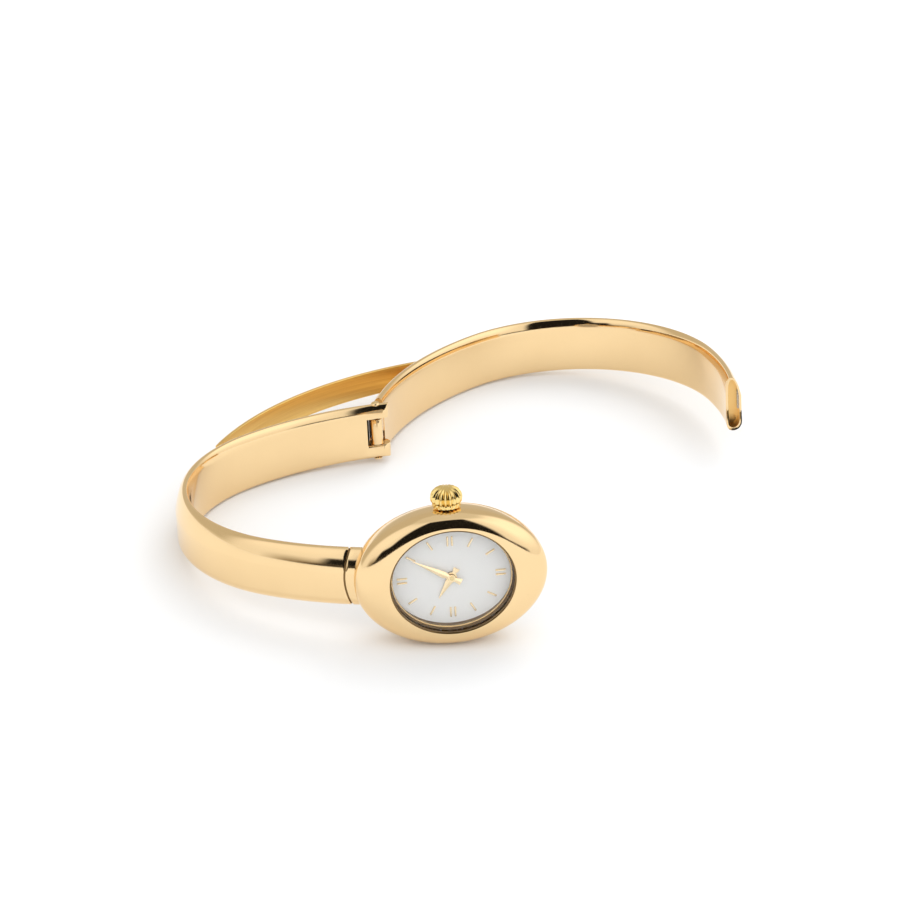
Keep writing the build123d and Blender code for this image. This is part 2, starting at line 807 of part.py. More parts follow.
# Main plate: motion work in a recess behind the dial, pillars and pockets at the back
with BuildPart() as main_plate:
    with BuildSketch(level(plate_back)):
        Ellipse(plate_half_width, plate_half_height)
    extrude(amount=dial_back - plate_back)
    cut_hole(dial_centre, motion_floor - run_gap, dial_back, recess_radius)
    cut_hole(minute_spot, motion_floor - run_gap, dial_back, recess_radius)
    add_axle(minute_spot, motion_floor - run_gap, motion_top, arbor_radius)
    cut_hole(dial_centre, plate_back, dial_back, arbor_radius + run_gap)
    for spot in (drive_spot, rotor_spot):
        cut_hole(spot, plate_back, plate_back + pivot_depth + run_gap, pivot_radius + run_gap)
    cut_hole((battery_across, 0), plate_back, battery_front, battery_radius + run_gap)
    for spot in strap_pillars:
        add_axle(spot, movement_back, plate_back, pillar_radius)
        cut_hole(spot, movement_back, plate_back, screw_radius)
    for spot in bridge_pillars:
        add_axle(spot, bridge_front, plate_back, pillar_radius)
        cut_hole(spot, bridge_front, plate_back, screw_radius)
    with BuildSketch(level(plate_back)):
        with Locations((0, stem_end - seat_gap)):
            Rectangle(2 * (stem_radius + seat_gap), plate_half_height, align=(Align.CENTER, Align.MIN))
            Rectangle(pocket_width, pocket_height, align=(Align.CENTER, Align.MIN))
    extrude(amount=pocket_depth, mode=Mode.SUBTRACT)
still["main_plate"] = main_plate

# Plastic ring that holds the movement in the case, open for the stem
with BuildPart() as movement_ring:
    with BuildSketch(level(movement_back)):
        Ellipse(cavity_half_width - holder_gap, cavity_half_height - holder_gap)
        Ellipse(plate_half_width, plate_half_height, mode=Mode.SUBTRACT)
    extrude(amount=dial_back - movement_back)
    with BuildSketch(stem_level(plate_half_height / 2)):
        Circle(stem_radius + seat_gap)
    extrude(amount=plate_half_height, mode=Mode.SUBTRACT)
still["movement_ring"] = movement_ring

with BuildPart() as train_bridge:
    with BuildSketch(level(movement_back)):
        for spot, radius in [(s, pillar_radius) for s in bridge_pillars] + [
            (dial_centre, pillar_radius), (drive_spot, pillar_radius), (rotor_spot, pillar_radius),
        ]:
            with Locations(spot):
                Circle(radius + bridge_margin)
        make_hull()
    extrude(amount=bridge_front - movement_back)
    for spot in bridge_pillars:
        cut_hole(spot, movement_back, bridge_front, screw_radius)
    cut_hole(dial_centre, bridge_front - pivot_depth - run_gap, bridge_front, arbor_radius + run_gap)
    for spot in (drive_spot, rotor_spot):
        cut_hole(spot, bridge_front - pivot_depth - run_gap, bridge_front, pivot_radius + run_gap)
still["train_bridge"] = train_bridge


def add_screw(spot, seat, tip):
    """Small screw with a slot, its head behind the seat."""
    add_axle(spot, seat - screw_head, tip, screw_radius)
    add_axle(spot, seat - screw_head, seat, screw_head_radius)
    with BuildSketch(level(seat - screw_head, *spot)) as slot:
        Rectangle(2 * screw_head_radius, screw_radius / 2)
    extrude(slot.sketch, amount=screw_head / 2, mode=Mode.SUBTRACT)


with BuildPart() as bridge_screws:
    for spot in bridge_pillars:
        add_screw(spot, movement_back, plate_back)
still["bridge_screws"] = bridge_screws

# Step motor: stator plate, coil core and winding
with BuildPart() as stator:
    block_left = rotor_spot[0] - stator_hole_radius - stator_reach / 2
    block_right = rotor_spot[0] + stator_hole_radius + stator_reach
    block_high = rotor_spot[1] + stator_arm_share * stator_hole_radius
    arm_right = coil_across + core_width
    with BuildSketch(level(stator_back)):
        with BuildLine():
            Polyline(
                (block_left, core_low), (arm_right, core_low), (arm_right, coil_low - seat_gap),
                (block_right, coil_low - seat_gap), (block_right, coil_high + seat_gap),
                (arm_right, coil_high + seat_gap), (arm_right, core_high),
                (block_right - core_width, core_high), (block_right - core_width, block_high),
                (block_left, block_high), close=True,
            )
        make_face()
        with Locations(rotor_spot):
            Circle(stator_hole_radius, mode=Mode.SUBTRACT)
    extrude(amount=stator_front - stator_back)
still["stator"] = stator

with BuildPart() as coil_core:
    with BuildSketch(level(stator_back - core_thickness)):
        with Locations((coil_across, core_low)):
            Rectangle(core_width, core_high - core_low, align=(Align.CENTER, Align.MIN))
    extrude(amount=core_thickness)
still["coil_core"] = coil_core

coil_depth = stator_back - core_thickness / 2
with BuildPart() as coil:
    with BuildSketch(Plane(origin=(coil_across, -band_half_depth - coil_depth, coil_low), z_dir=(0, 0, 1))):
        Circle(coil_radius)
        Rectangle(core_width, core_thickness, mode=Mode.SUBTRACT)
    extrude(amount=coil_high - coil_low)
still["coil"] = coil

with BuildPart() as battery:
    battery_spot = (battery_across, 0)
    add_axle(battery_spot, movement_back, battery_front, battery_radius)
    chamfer(battery.edges().group_by(Axis.Y)[0], seat_gap)
still["battery"] = battery

with BuildPart() as battery_strap:
    with BuildSketch(level(movement_back - strap_thickness)):
        with Locations(battery_spot):
            SlotCenterToCenter(strap_pillars[1][1] - strap_pillars[0][1], strap_width, rotation=90)
    extrude(amount=strap_thickness)
    for spot in strap_pillars:
        cut_hole(spot, movement_back - strap_thickness, movement_back, screw_radius)
still["battery_strap"] = battery_strap

with BuildPart() as strap_screws:
    for spot in strap_pillars:
        add_screw(spot, movement_back - strap_thickness, plate_back)
still["strap_screws"] = strap_screws

# Circuit board with the quartz can lying on it
with BuildPart() as circuit_board:
    with BuildSketch(level(-board_thickness)):
        with Locations((board_left, board_low)):
            Rectangle(board_right - board_left, board_high - board_low, align=(Align.MIN, Align.MIN))
    extrude(amount=board_thickness)
still["circuit_board"] = circuit_board

with BuildPart() as quartz_can:
    quartz_depth = -board_thickness - quartz_radius
    board_middle = (board_low + board_high) / 2
    quartz_start = (board_left + seat_gap, -band_half_depth - quartz_depth, board_middle)
    with BuildSketch(Plane(origin=quartz_start, z_dir=(1, 0, 0))):
        Circle(quartz_radius)
    extrude(amount=quartz_length)
still["quartz_can"] = quartz_can

# Stem with its groove and clutch wheel, and the lever whose pin drops into the groove
with BuildPart() as stem:
    with BuildSketch(stem_level(stem_end)):
        Circle(stem_radius)
    extrude(amount=stem_groove_low - stem_end)
    with BuildSketch(stem_level(stem_groove_low)):
        Circle(stem_groove_radius)
    extrude(amount=stem_groove_high - stem_groove_low)
    with BuildSketch(stem_level(stem_groove_high)):
        Circle(stem_radius)
    extrude(amount=bore_top - stem_groove_high)
turning["crown"]["stem"] = stem

with BuildPart() as clutch_wheel:
    with BuildSketch(stem_level(clutch_low)):
        Circle(clutch_radius)
        Circle(stem_radius + run_gap, mode=Mode.SUBTRACT)
    extrude(amount=clutch_high - clutch_low)
turning["crown"]["clutch_wheel"] = clutch_wheel

with BuildPart() as stem_lever:
    with BuildSketch(level(plate_back - lever_thickness)):
        with Locations((lever_across + lever_thickness, lever_up)):
            SlotOverall(lever_length, 4 * lever_pin_radius)
    extrude(amount=lever_thickness)
    add_axle((lever_across, lever_up), plate_back, stem_depth, lever_pin_radius)
still["stem_lever"] = stem_lever

with BuildPart() as crown_tube:
    with BuildSketch(stem_level(tube_low)):
        Circle(tube_radius)
        Circle(stem_radius + run_gap, mode=Mode.SUBTRACT)
    extrude(amount=tube_top - tube_low)
still["crown_tube"] = crown_tube

with BuildPart() as crown_seal:
    with BuildSketch(stem_level(crown_seal_low)):
        Circle(bore_radius)
        Circle(stem_radius, mode=Mode.SUBTRACT)
    extrude(amount=bore_top - crown_seal_low)
turning["crown"]["crown_seal"] = crown_seal

# Crown: a flattened ball with flutes below its smooth cap, on a toothed collar
stem_axis = Axis((0, -band_half_depth - stem_depth, 0), (0, 0, 1))
crown_shoulder = 2 * crown_middle - collar_high
crown_dome_height = crown_middle + crown_half_height - crown_shoulder
crown_dome_radius = (crown_rim_radius**2 + crown_dome_height**2) / (2 * crown_dome_height)
crown_dome_centre = crown_shoulder + crown_dome_height - crown_dome_radius
crown_dome_angle = degrees(asin(crown_rim_radius / crown_dome_radius))
with BuildPart() as crown:
    with BuildSketch(level(stem_depth)):
        with BuildLine():
            Line((0, collar_high), (crown_rim_radius, collar_high))
            ThreePointArc(
                (crown_rim_radius, collar_high), (crown_radius, crown_middle), (crown_rim_radius, crown_shoulder),
            )
            CenterArc((0, crown_dome_centre), crown_dome_radius, 90 - crown_dome_angle, crown_dome_angle)
            Line((0, crown_dome_centre + crown_dome_radius), (0, collar_high))
        make_face()
    revolve(axis=stem_axis)
    with BuildSketch(stem_level(collar_low)):
        with PolarLocations(flute_ring_radius, flutes, start_angle=flute_start):
            Circle(flute_radius)
    extrude(amount=flute_top - collar_low, mode=Mode.SUBTRACT)
    with BuildSketch(stem_level(collar_low)):
        Circle(collar_radius)
        with PolarLocations(collar_radius, flutes, start_angle=flute_start):
            Circle(collar_groove, mode=Mode.SUBTRACT)
    extrude(amount=collar_high - collar_low)
    with BuildSketch(stem_level(collar_low)):
        Circle(bore_radius)
    extrude(amount=bore_top - collar_low, mode=Mode.SUBTRACT)
turning["crown"]["crown"] = crown

# Line on the table that the fixed half and the opened swing half share: it touches the side arc
# of one and the back arc of the other, on their rounded lower edges
edge_offset = band_thickness - band_outer_round
hinge_swing = Pos(hinge_x, hinge_y, 0) * Rot(0, 0, swing_angle) * Pos(-hinge_x, -hinge_y, 0)
back_arc_centre = (hinge_swing * Pos(0, -flat_centre, 0)).position
apart_x = back_arc_centre.X + side_centre
apart_y = back_arc_centre.Y
touch_normal = degrees(
    atan2(apart_y, apart_x) + acos((side_radius - flat_radius) / hypot(apart_x, apart_y))
)
touch_side = (cos(radians(touch_normal)), sin(radians(touch_normal)))
touch_distance = side_radius + edge_offset - side_centre * touch_side[0]
case_distance = touch_distance + (band_half_depth + case_widest) * touch_side[1]

# The case stands out below the band, so the ring leans: its case side is raised
lean_angle = degrees(atan((case_half_height - half_width) / case_distance))
lean = Rot(0, 0, touch_normal + 90) * Rot(lean_angle, 0, 0) * Rot(0, 0, -touch_normal - 90)

pieces = {name: lean * block.part for name, block in still.items()}
pieces.update({name: lean * hinge_swing * block.part for name, block in swung.items()})
pieces.update({name: lean * block.part for name, block in folded.items()})
for group in turning.values():
    pieces.update({name: lean * block.part for name, block in group.items()})
boxes = [piece.bounding_box() for piece in pieces.values()]
low = Vector(*(min(getattr(box.min, axis) for box in boxes) for axis in "XYZ"))
high = Vector(*(max(getattr(box.max, axis) for box in boxes) for axis in "XYZ"))
settle = Pos(-(low.X + high.X) / 2, -(low.Y + high.Y) / 2, -low.Z)

for name, piece in pieces.items():
    piece = settle * piece
    piece.label = name
    export_step(piece, f"parts/{name}.step")

# Places of the joints in the frame of the table, for the record
joint_planes = {
    "hinge": hinge_level(0),
    "guard": guard_level(0),
    "stem": stem_level(0),
    "dial centre": level(0),
    "minute wheel": level(0, *minute_spot),
    "drive wheel": level(0, *drive_spot),
    "rotor": level(0, *rotor_spot),
    "case cover": level(cover_back),
}
for name, plane in joint_planes.items():
    placed = Plane(settle * lean * plane.location)
    place = [round(v, 4) for v in placed.origin]
    axes = [[round(v, 6) for v in direction] for direction in (placed.z_dir, placed.x_dir)]
    print(name, place, *axes)
size = [round(v, 2) for v in (high - low)]
print("lean", round(lean_angle, 3), "touch", round(touch_normal, 2), "size", size)
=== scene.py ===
import json
from math import asin, atan2, copysign, cos, degrees, hypot, pi, radians, sin, sqrt, tan
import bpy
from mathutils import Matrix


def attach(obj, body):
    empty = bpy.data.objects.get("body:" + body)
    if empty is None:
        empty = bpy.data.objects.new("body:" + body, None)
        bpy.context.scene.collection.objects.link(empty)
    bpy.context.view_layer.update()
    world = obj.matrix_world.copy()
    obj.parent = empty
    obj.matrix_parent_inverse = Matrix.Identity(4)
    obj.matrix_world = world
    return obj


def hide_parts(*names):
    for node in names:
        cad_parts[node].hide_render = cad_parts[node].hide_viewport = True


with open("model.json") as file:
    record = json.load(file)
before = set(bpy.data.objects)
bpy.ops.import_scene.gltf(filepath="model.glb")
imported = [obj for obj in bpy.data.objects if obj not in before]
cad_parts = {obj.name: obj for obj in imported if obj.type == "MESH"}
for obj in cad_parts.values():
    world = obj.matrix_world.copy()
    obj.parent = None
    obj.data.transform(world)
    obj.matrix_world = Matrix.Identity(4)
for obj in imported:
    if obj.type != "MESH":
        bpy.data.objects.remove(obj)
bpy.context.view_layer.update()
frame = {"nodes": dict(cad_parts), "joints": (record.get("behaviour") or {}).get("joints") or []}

from types import SimpleNamespace

import bmesh
import bpy
from bpy.props import FloatProperty, FloatVectorProperty, IntProperty, PointerProperty
from bpy.types import Operator, Panel, PropertyGroup
from mathutils import Matrix, Vector

bl_info = {
    "name": "Bangle watch",
    "version": (1, 0, 0),
    "blender": (4, 5, 0),
    "location": "3D View > Sidebar > Bangle watch",
    "description": "Models an open bangle watch round its packed frame, with its finishes and studio",
    "category": "Object",
}

# ---- Sizes and colours that a user would change ----


def length(name, description, default):
    """A size in metres."""
    return FloatProperty(name=name, description=description, default=default, unit="LENGTH", precision=5, min=0)


def turn(name, description, default):
    """An angle, given here in degrees."""
    return FloatProperty(name=name, description=description, default=radians(default), unit="ROTATION")


def share(name, description, default):
    """A part of a whole."""
    return FloatProperty(name=name, description=description, default=default, subtype="FACTOR", min=0, max=1)


def tint(name, description, default):
    """A colour."""
    return FloatVectorProperty(name=name, description=description, default=default, subtype="COLOR", min=0, max=1)


class BandSizes(PropertyGroup):
    half_length: length("Half length", "Half the inner oval's length", 0.028)
    half_depth: length("Half depth", "Half the inner oval's depth, from case to hinge", 0.02124)
    side_radius: length("Side radius", "Radius of the oval's two side arcs", 0.0182)
    width: length("Width", "Width of the band", 0.00706)
    thickness: length("Thickness", "Thickness of the band", 0.00185)
    lower_round: length("Lower rounding", "Radius of the lower outer edge", 0.00125)
    inner_round: length("Inner rounding", "Radius of the lower inner edge, and depth of the upper one", 0.0005)
    outer_round: length("Outer rounding", "Depth of the upper outer edge's rounding", 0.00125)
    outer_rise: length("Outer rise", "Height of the upper outer edge's rounding", 0.0026)
    inner_rise: length("Inner rise", "Height of the upper inner edge's rounding", 0.0012)
    outer_crease: turn("Outer crease", "Angle between the outer face and the start of its rounding", 12.0)
    inner_crease: turn("Inner crease", "Angle between the inner face and the start of its rounding", 5.0)
    collar: length("Collar", "Length of the stub of band on the case", 0.00085)
    case_gap: length("Case gap", "Gap between the fixed half and the stub on the case", 0.00022)
    mouth_gap: length("Mouth gap", "Gap between the closed swing half and the case", 0.001)
    socket_depth: length("Socket depth", "Depth of the swing half's hollow end", 0.0009)
    leaf_thickness: length("Leaf thickness", "Thickness of the catch's spring leaf", 0.00012)
    leaf_width: length("Leaf width", "Width of the catch's spring leaf", 0.0024)
    tongue_thickness: length("Tongue thickness", "Thickness of the catch's tongue", 0.0007)
    tongue_width: length("Tongue width", "Width of the catch's tongue", 0.0026)
    socket_width: share("Socket width", "Hollow's share of the band's width", 0.91)
    socket_thickness: share("Socket thickness", "Hollow's share of the band's thickness", 0.7)


class HingeSizes(PropertyGroup):
    normal: turn("Place", "Direction of the oval's normal at the hinge", 95.6)
    inset: length("Inset", "Depth of the pin behind the band's inner face", 0.0006)
    barrel_radius: length("Barrel radius", "Radius of the knuckle", 0.00075)
    ear_reach: length("Ear reach", "Distance from the pin to the middle of the ears' round noses", 0.00075)
    window_length: length("Window length", "Length of the window before the pin", 0.0013)
    window_width: length("Window width", "Width of the window between the ears", 0.0035)
    knuckle_width: length("Knuckle width", "Width of the swing half's knuckle", 0.0033)
    pin_radius: length("Pin radius", "Radius of the hinge pin", 0.00035)
    head_radius: length("Head radius", "Radius of the pin's domed head", 0.00055)
    head_height: length("Head height", "Height of the pin's domed head", 0.00032)
    foot_height: length("Foot height", "How far the pin's foot stands out below", 0.0002)
    clearance: length("Clearance", "Gap between the ears' sweep and the swing half", 0.00015)


class GuardSizes(PropertyGroup):
    normal: turn("Place", "Direction of the oval's normal at the guard's pivot", 133.2)
    offset: length("Offset", "Distance of the pivot from the band's inner face", 0.00263)
    radius: length("Radius", "Radius of the blade's curve", 0.0399)
    lean: turn("Lean", "Direction of the blade's middle", 38.75)
    sweep: turn("Sweep", "Angle that the blade spans from its pivot", 53.0)
    neck: turn("Neck", "Angle between the pivot and the blade", 1.6)
    thickness: length("Thickness", "Thickness of the blade", 0.00045)
    width: length("Width", "Width of the blade", 0.0032)
    up: length("Height", "Height of the blade's middle above the band's middle", 0.00065)
    corner: length("Corner", "Radius of the blade's corners", 0.0006)
    eye_radius: length("Eye radius", "Radius of the blade's eye", 0.0005)
    eye_width: length("Eye width", "Width of the blade's eye", 0.0019)
    pin_hole: length("Pin hole", "Radius of the hole for the guard's pin", 0.00027)


class CaseSizes(PropertyGroup):
    half_width: length("Half width", "Half the case's width", 0.0111)
    half_height: length("Half height", "Half the case's height", 0.0083)
    front: length("Front", "Depth of the lip of the opening", 0.00345)
    widest: length("Widest", "Depth of the case's widest line", 0.0014)
    back: length("Back", "How far the case reaches behind the band's inner face", 0.0018)
    back_inset: length("Back inset", "How much smaller the case is at its back", 0.0009)
    opening_half_width: length("Opening half width", "Half the width of the opening", 0.00715)
    opening_half_height: length("Opening half height", "Half the height of the opening", 0.0063)
    lip: length("Lip", "Width of the dark line round the opening", 0.00012)
    cavity_half_width: length("Cavity half width", "Half the width of the hollow behind the opening", 0.00775)
    cavity_half_height: length("Cavity half height", "Half the height of the hollow behind the opening", 0.0069)
    crystal_front: length("Crystal front", "Depth of the crystal's front face", 0.00305)
    dial: length("Dial", "Depth of the dial's face", 0.0014)
    bead_depth: length("Bead depth", "Depth of the bead on the ring round the dial", 0.00186)
    bead_radius: length("Bead radius", "Radius of the bead's section", 0.00013)
    bead_inset: length("Bead inset", "How much smaller the bead is than the opening", 0.00022)


class DialSizes(PropertyGroup):
    marker_half_width: length("Marker half width", "Half the width of the oval that the bars lie on", 0.00568)
    marker_half_height: length("Marker half height", "Half the height of the oval that the bars lie on", 0.00442)
    marker_length: length("Marker length", "Length of an hour bar", 0.0012)
    marker_width: length("Marker width", "Width of an hour bar", 0.00023)
    marker_height: length("Marker height", "Height of an hour bar", 0.00022)
    pair_pitch: length("Pair pitch", "Distance between the two bars of a quarter", 0.00052)
    hour_length: length("Hour hand", "Length of the hour hand", 0.00295)
    minute_length: length("Minute hand", "Length of the minute hand", 0.0051)
    hand_width: length("Hand width", "Width of a hand at its shoulder", 0.0008)
    hand_tail: length("Hand tail", "Length of a hand's tail", 0.0012)
    hand_thickness: length("Hand thickness", "Thickness of a hand", 0.00012)
    hour_depth: length("Hour depth", "Depth of the hour hand", 0.0016)
    minute_depth: length("Minute depth", "Depth of the minute hand", 0.00188)
    cannon_radius: length("Cannon radius", "Radius of the pipe that carries the minute hand", 0.00028)
    hour_pipe_radius: length("Hour pipe radius", "Radius of the pipe that carries the hour hand", 0.0005)
    hand_boss: length("Boss", "Width of the rim round a hand's hole", 0.00012)
    hour: IntProperty(name="Hour", description="Hour that the hands show", default=10, min=0, max=12)
    minute: IntProperty(name="Minute", description="Minute that the hands show", default=5, min=0, max=59)


class CrownSizes(PropertyGroup):
    depth: length("Depth", "Depth of the stem's axis", 0.0005)
    radius: length("Radius", "Radius of the fluted ball", 0.00185)
    middle: length("Middle", "Height of the ball's middle above the dial's centre", 0.0094)
    half_height: length("Half height", "Half the ball's height", 0.00126)
    collar_radius: length("Collar radius", "Radius of the ribbed collar", 0.00166)
    collar_low: length("Collar low", "Height of the collar's lower edge", 0.00842)
    collar_high: length("Collar high", "Height of the collar's upper edge", 0.00887)
    bore_radius: length("Bore radius", "Radius of the bore", 0.0009)
    bore_top: length("Bore top", "Height of the bore's end", 0.00912)
    stem_radius: length("Stem radius", "Radius of the stem that the crown is screwed on", 0.0003)
    flute_depth: length("Flute depth", "Depth of a flute", 0.0003)
    flutes: IntProperty(name="Flutes", description="Number of flutes", default=18, min=6)


class Finishes(PropertyGroup):
    gold: tint("Polished gold", "Colour of the polished plating", (0.92, 0.675, 0.37))
    brushed_gold: tint("Brushed gold", "Colour of the brushed plating", (1.0, 0.69, 0.24))
    crown_gold: tint("Crown gold", "Colour of the crown's plating", (0.93, 0.70, 0.28))
    trim: tint("Trim", "Colour of the hands and hour bars", (0.96, 0.76, 0.46))
    lacquer: tint("Dial", "Colour of the dial's lacquer", (0.92, 0.92, 0.90))
    steel: tint("Steel", "Colour of the steel", (0.58, 0.58, 0.59))
    floor: tint("Floor", "Colour of the floor", (0.85, 0.85, 0.85))


# ---- Where things are ----

MM = 1000.0
# Directions of the oval's normal, in degrees: the mouth, and where the band's stretches start and end in the case
MOUTH, SWING_END, INSIDE_CASE, COLLAR_END, JOINT_END = 288.0, -73.2, 255.0, 248.0, 247.0
# The same, counted from the mouth or the hinge
SOCKET_END, LEAF_RUN, TONGUE_RUN, REFLECTION_LINING_RUN = -3, (4, 2.2), (1, -4), (0.3, -0.2)
SWING_START, WINDOW_RUN = -0.2, (12, -3)
# Shares of the band's thickness and width
JOINT_SHARE, REFLECTION_LINING_FIT = (0.88, 0.96), (1.03, 1.01)
# Softened edges, in millimetres
EAR_EDGE, WINDOW_LEAF_EDGE, MOUTH_EDGE, KNUCKLE_EDGE = 0.06, 0.03, 0.12, 0.07
# Flat run before a crease, the knuckle's lap in the band, and the flat on the pin's dome, in millimetres
CREASE_RUN, KNUCKLE_LAP, DOME_FLAT = 0.1, 0.3, 0.02
# Corners of small, middling, large and the largest circles
SMALL, MIDDLING, LARGE, LARGEST = 48, 96, 256, 320
ARC_STEPS, BACK_STEPS, FRONT_STEPS, CROWN_STEPS, GUARD_STEPS, PER_FLUTE = 12, 10, 20, 14, 96, 8
NEAR = 1e-4
DIAL_JOINT = next(j for j in frame["joints"] if j["name"] == "minute_turn")
SWING_JOINT = next(j for j in frame["joints"] if j["name"] == "band_swing")


def sizes(name):
    """A group's values, with its lengths in millimetres, in which the pieces are modelled."""
    group = getattr(bpy.context.scene, f"watch_{name}")
    kinds = group.bl_rna.properties
    return SimpleNamespace(**{
        key: getattr(group, key) * (MM if kinds[key].unit == "LENGTH" else 1) for key in type(group).__annotations__
    })


def direction(angle):
    return Vector((cos(angle), sin(angle), 0))


def ring_place():
    """Matrix that takes the closed ring, drawn in millimetres about its own axis, to its leaning place."""
    up = Vector(SWING_JOINT["axis"]).normalized()
    back = -Vector(DIAL_JOINT["axis"]).normalized()
    side = back.cross(up).normalized()
    turned = Matrix((side, up.cross(side), up)).transposed().to_4x4()
    dial_centre = turned @ Vector((0, -sizes("band").half_depth, 0, 1)) / MM
    return Matrix.Translation(Vector(DIAL_JOINT["pos_m"]) - dial_centre.to_3d()) @ turned @ Matrix.Scale(1 / MM, 4)


def dial_place(across, rise, depth):
    """Matrix of a spot on the dial in the ring's millimetres: X across, Y up, Z out of the dial."""
    spot = Matrix.Translation((across, -sizes("band").half_depth - depth, rise))
    return spot @ Matrix.Rotation(pi / 2, 4, "X")


def hinge_spot():
    """The hinge pin's place on the closed ring."""
    hinge = sizes("hinge")
    return oval_point(degrees(hinge.normal), hinge.inset)


def hinge_frame():
    """Matrix of the hinge: X along the swing half, Y out of the band, Z up the pin."""
    return Matrix.Translation(hinge_spot()) @ Matrix.Rotation(sizes("hinge").normal - pi / 2, 4, "Z")


def swung_place():
    """Matrix for the swing half, which is drawn closed and stands open."""
    open_angle = -radians(SWING_JOINT["range_deg"][0])
    pin = hinge_spot()
    return ring_place() @ Matrix.Translation(pin) @ Matrix.Rotation(open_angle, 4, "Z") @ Matrix.Translation(-pin)


def standing(outward):
    """Matrix that stands a flat outline up, with its X outwards and its Y up."""
    up = Vector((0, 0, 1))
    return Matrix((outward, up, outward.cross(up))).transposed().to_4x4()


def oval():
    """(side centre, flat centre, flat radius, join angle) of the band's oval of four arcs."""
    band = sizes("band")
    side_centre = band.half_length - band.side_radius
    flat_radius = (side_centre**2 + band.half_depth**2 - band.side_radius**2) / (
        2 * (band.half_depth - band.side_radius)
    )
    flat_centre = flat_radius - band.half_depth
    return side_centre, flat_centre, flat_radius, degrees(atan2(flat_centre, side_centre))


def arc_at(normal):
    """Centre and radius of the oval's arc where its outward normal has this angle."""
    side_centre, flat_centre, flat_radius, join = oval()
    across, along = cos(radians(normal)), sin(radians(normal))
    if abs(along) <= sin(radians(join)):
        return Vector((copysign(side_centre, across), 0, 0)), sizes("band").side_radius
    return Vector((0, copysign(flat_centre, -along), 0)), flat_radius


def oval_point(normal, offset):
    """Point of the oval where its outward normal has this angle, moved out by offset."""
    centre, radius = arc_at(normal)
    reach, angle = radius + offset, radians(normal)
    return Vector((centre.x + reach * cos(angle), centre.y + reach * sin(angle), 0))


def arc_runs(start, end):
    """(centre, sweep) of each of the oval's arcs from one direction of its normal down to another."""
    join = oval()[3]
    joins = [half_turn * 180 + side * join for half_turn in range(-1, 3) for side in (-1, 1)]
    stops = [start] + sorted((j for j in joins if end < j < start), reverse=True) + [end]
    return [(arc_at((first + last) / 2)[0], first - last) for first, last in zip(stops, stops[1:])]


# ---- Modelling by hand ----


def pick(piece):
    """Makes the piece the only selected one, and the active one."""
    bpy.ops.object.select_all(action="DESELECT")
    piece.select_set(True)
    bpy.context.view_layer.objects.active = piece


def add(name, primitive, **options):
    """Adds a primitive with nothing else selected, and names it."""
    bpy.ops.object.select_all(action="DESELECT")
    getattr(bpy.ops.mesh, f"primitive_{primitive}_add")(**options)
    piece = bpy.context.active_object
    piece.name = piece.data.name = name
    return piece


def edit(kind="EDGE"):
    """Enters edit mode with everything selected."""
    bpy.ops.object.mode_set(mode="EDIT")
    bpy.ops.mesh.select_mode(type=kind)
    bpy.ops.mesh.select_all(action="SELECT")


def leave():
    bpy.ops.object.mode_set(mode="OBJECT")


def face_out():
    """Turns all faces outwards in edit mode."""
    bpy.ops.mesh.select_all(action="SELECT")
    bpy.ops.mesh.normals_make_consistent(inside=False)


def settle(piece, matrix=None):
    """Applies the piece's place, or puts it at a new one, into its mesh."""
    if matrix is not None:
        piece.matrix_world = matrix
    bpy.ops.object.transform_apply(location=True, rotation=True, scale=True)


def select(piece, test, kind="VERT"):
    """Selects the vertices, edges or faces in edit mode that pass the test."""
    bpy.ops.mesh.select_mode(type=kind)
    bpy.ops.mesh.select_all(action="DESELECT")
    shape = bmesh.from_edit_mesh(piece.data)
    for part in {"VERT": shape.verts, "EDGE": shape.edges, "FACE": shape.faces}[kind]:
        if test(part):
            part.select_set(True)
    bmesh.update_edit_mesh(piece.data)


def select_rim(piece):
    select(piece, lambda e: e.is_boundary, "EDGE")


def apply_modifier(piece, kind, **options):
    """Adds a modifier and applies it."""
    modifier = piece.modifiers.new(kind.title(), kind)
    for option, value in options.items():
        setattr(modifier, option, value)
    pick(piece)
    bpy.ops.object.modifier_apply(modifier=modifier.name)


def combine(piece, tool, operation="DIFFERENCE"):
    """Cuts or joins the piece with a tool, which is then gone."""
    apply_modifier(piece, "BOOLEAN", object=tool, operation=operation, solver="EXACT")
    pick(tool)
    bpy.ops.object.delete()
    pick(piece)


def soften(piece, width):
    """Rounds the piece's sharp edges a little."""
    apply_modifier(
        piece, "BEVEL", width=width, segments=2, limit_method="ANGLE", angle_limit=radians(35),
        harden_normals=False, use_clamp_overlap=True,
    )


def extrude(*offset):
    bpy.ops.mesh.extrude_region_move(TRANSFORM_OT_translate={"value": offset})


def extrude_ring(offset=(0, 0, 0), factor=(1, 1, 1), centre=(0, 0, 0)):
    """Extrudes the selected rim, moves it and scales it about a centre."""
    extrude(*offset)
    if factor != (1, 1, 1):
        bpy.ops.transform.resize(value=factor, center_override=centre)


def sweep_outline(piece, turns):
    """Spins a flat outline through its turns, each (centre, angle, steps), and closes both ends."""
    edit()
    for centre, angle, steps in turns:
        bpy.ops.mesh.spin(steps=steps, angle=angle, center=centre, axis=(0, 0, 1), use_auto_merge=False)
    bpy.ops.mesh.edge_face_add()
    select_rim(piece)
    bpy.ops.mesh.edge_face_add()


def hand_over(piece, body, slot, material, *nodes, spot=Matrix(), smooth=35):
    """Puts a finished piece in its place on its body, with its finish, for the nodes that it stands for."""
    place = swung_place() if body == "swing_band" else ring_place()
    pick(piece)
    edit("VERT")
    bpy.ops.mesh.remove_doubles(threshold=1e-5)
    face_out()
    leave()
    settle(piece, place @ spot)
    bpy.ops.object.shade_smooth_by_angle(angle=radians(smooth))
    piece.data.materials.clear()
    piece.data.materials.append(finish(material))
    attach(piece, body)
    if nodes:
        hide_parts(*nodes)


# ---- The band ----


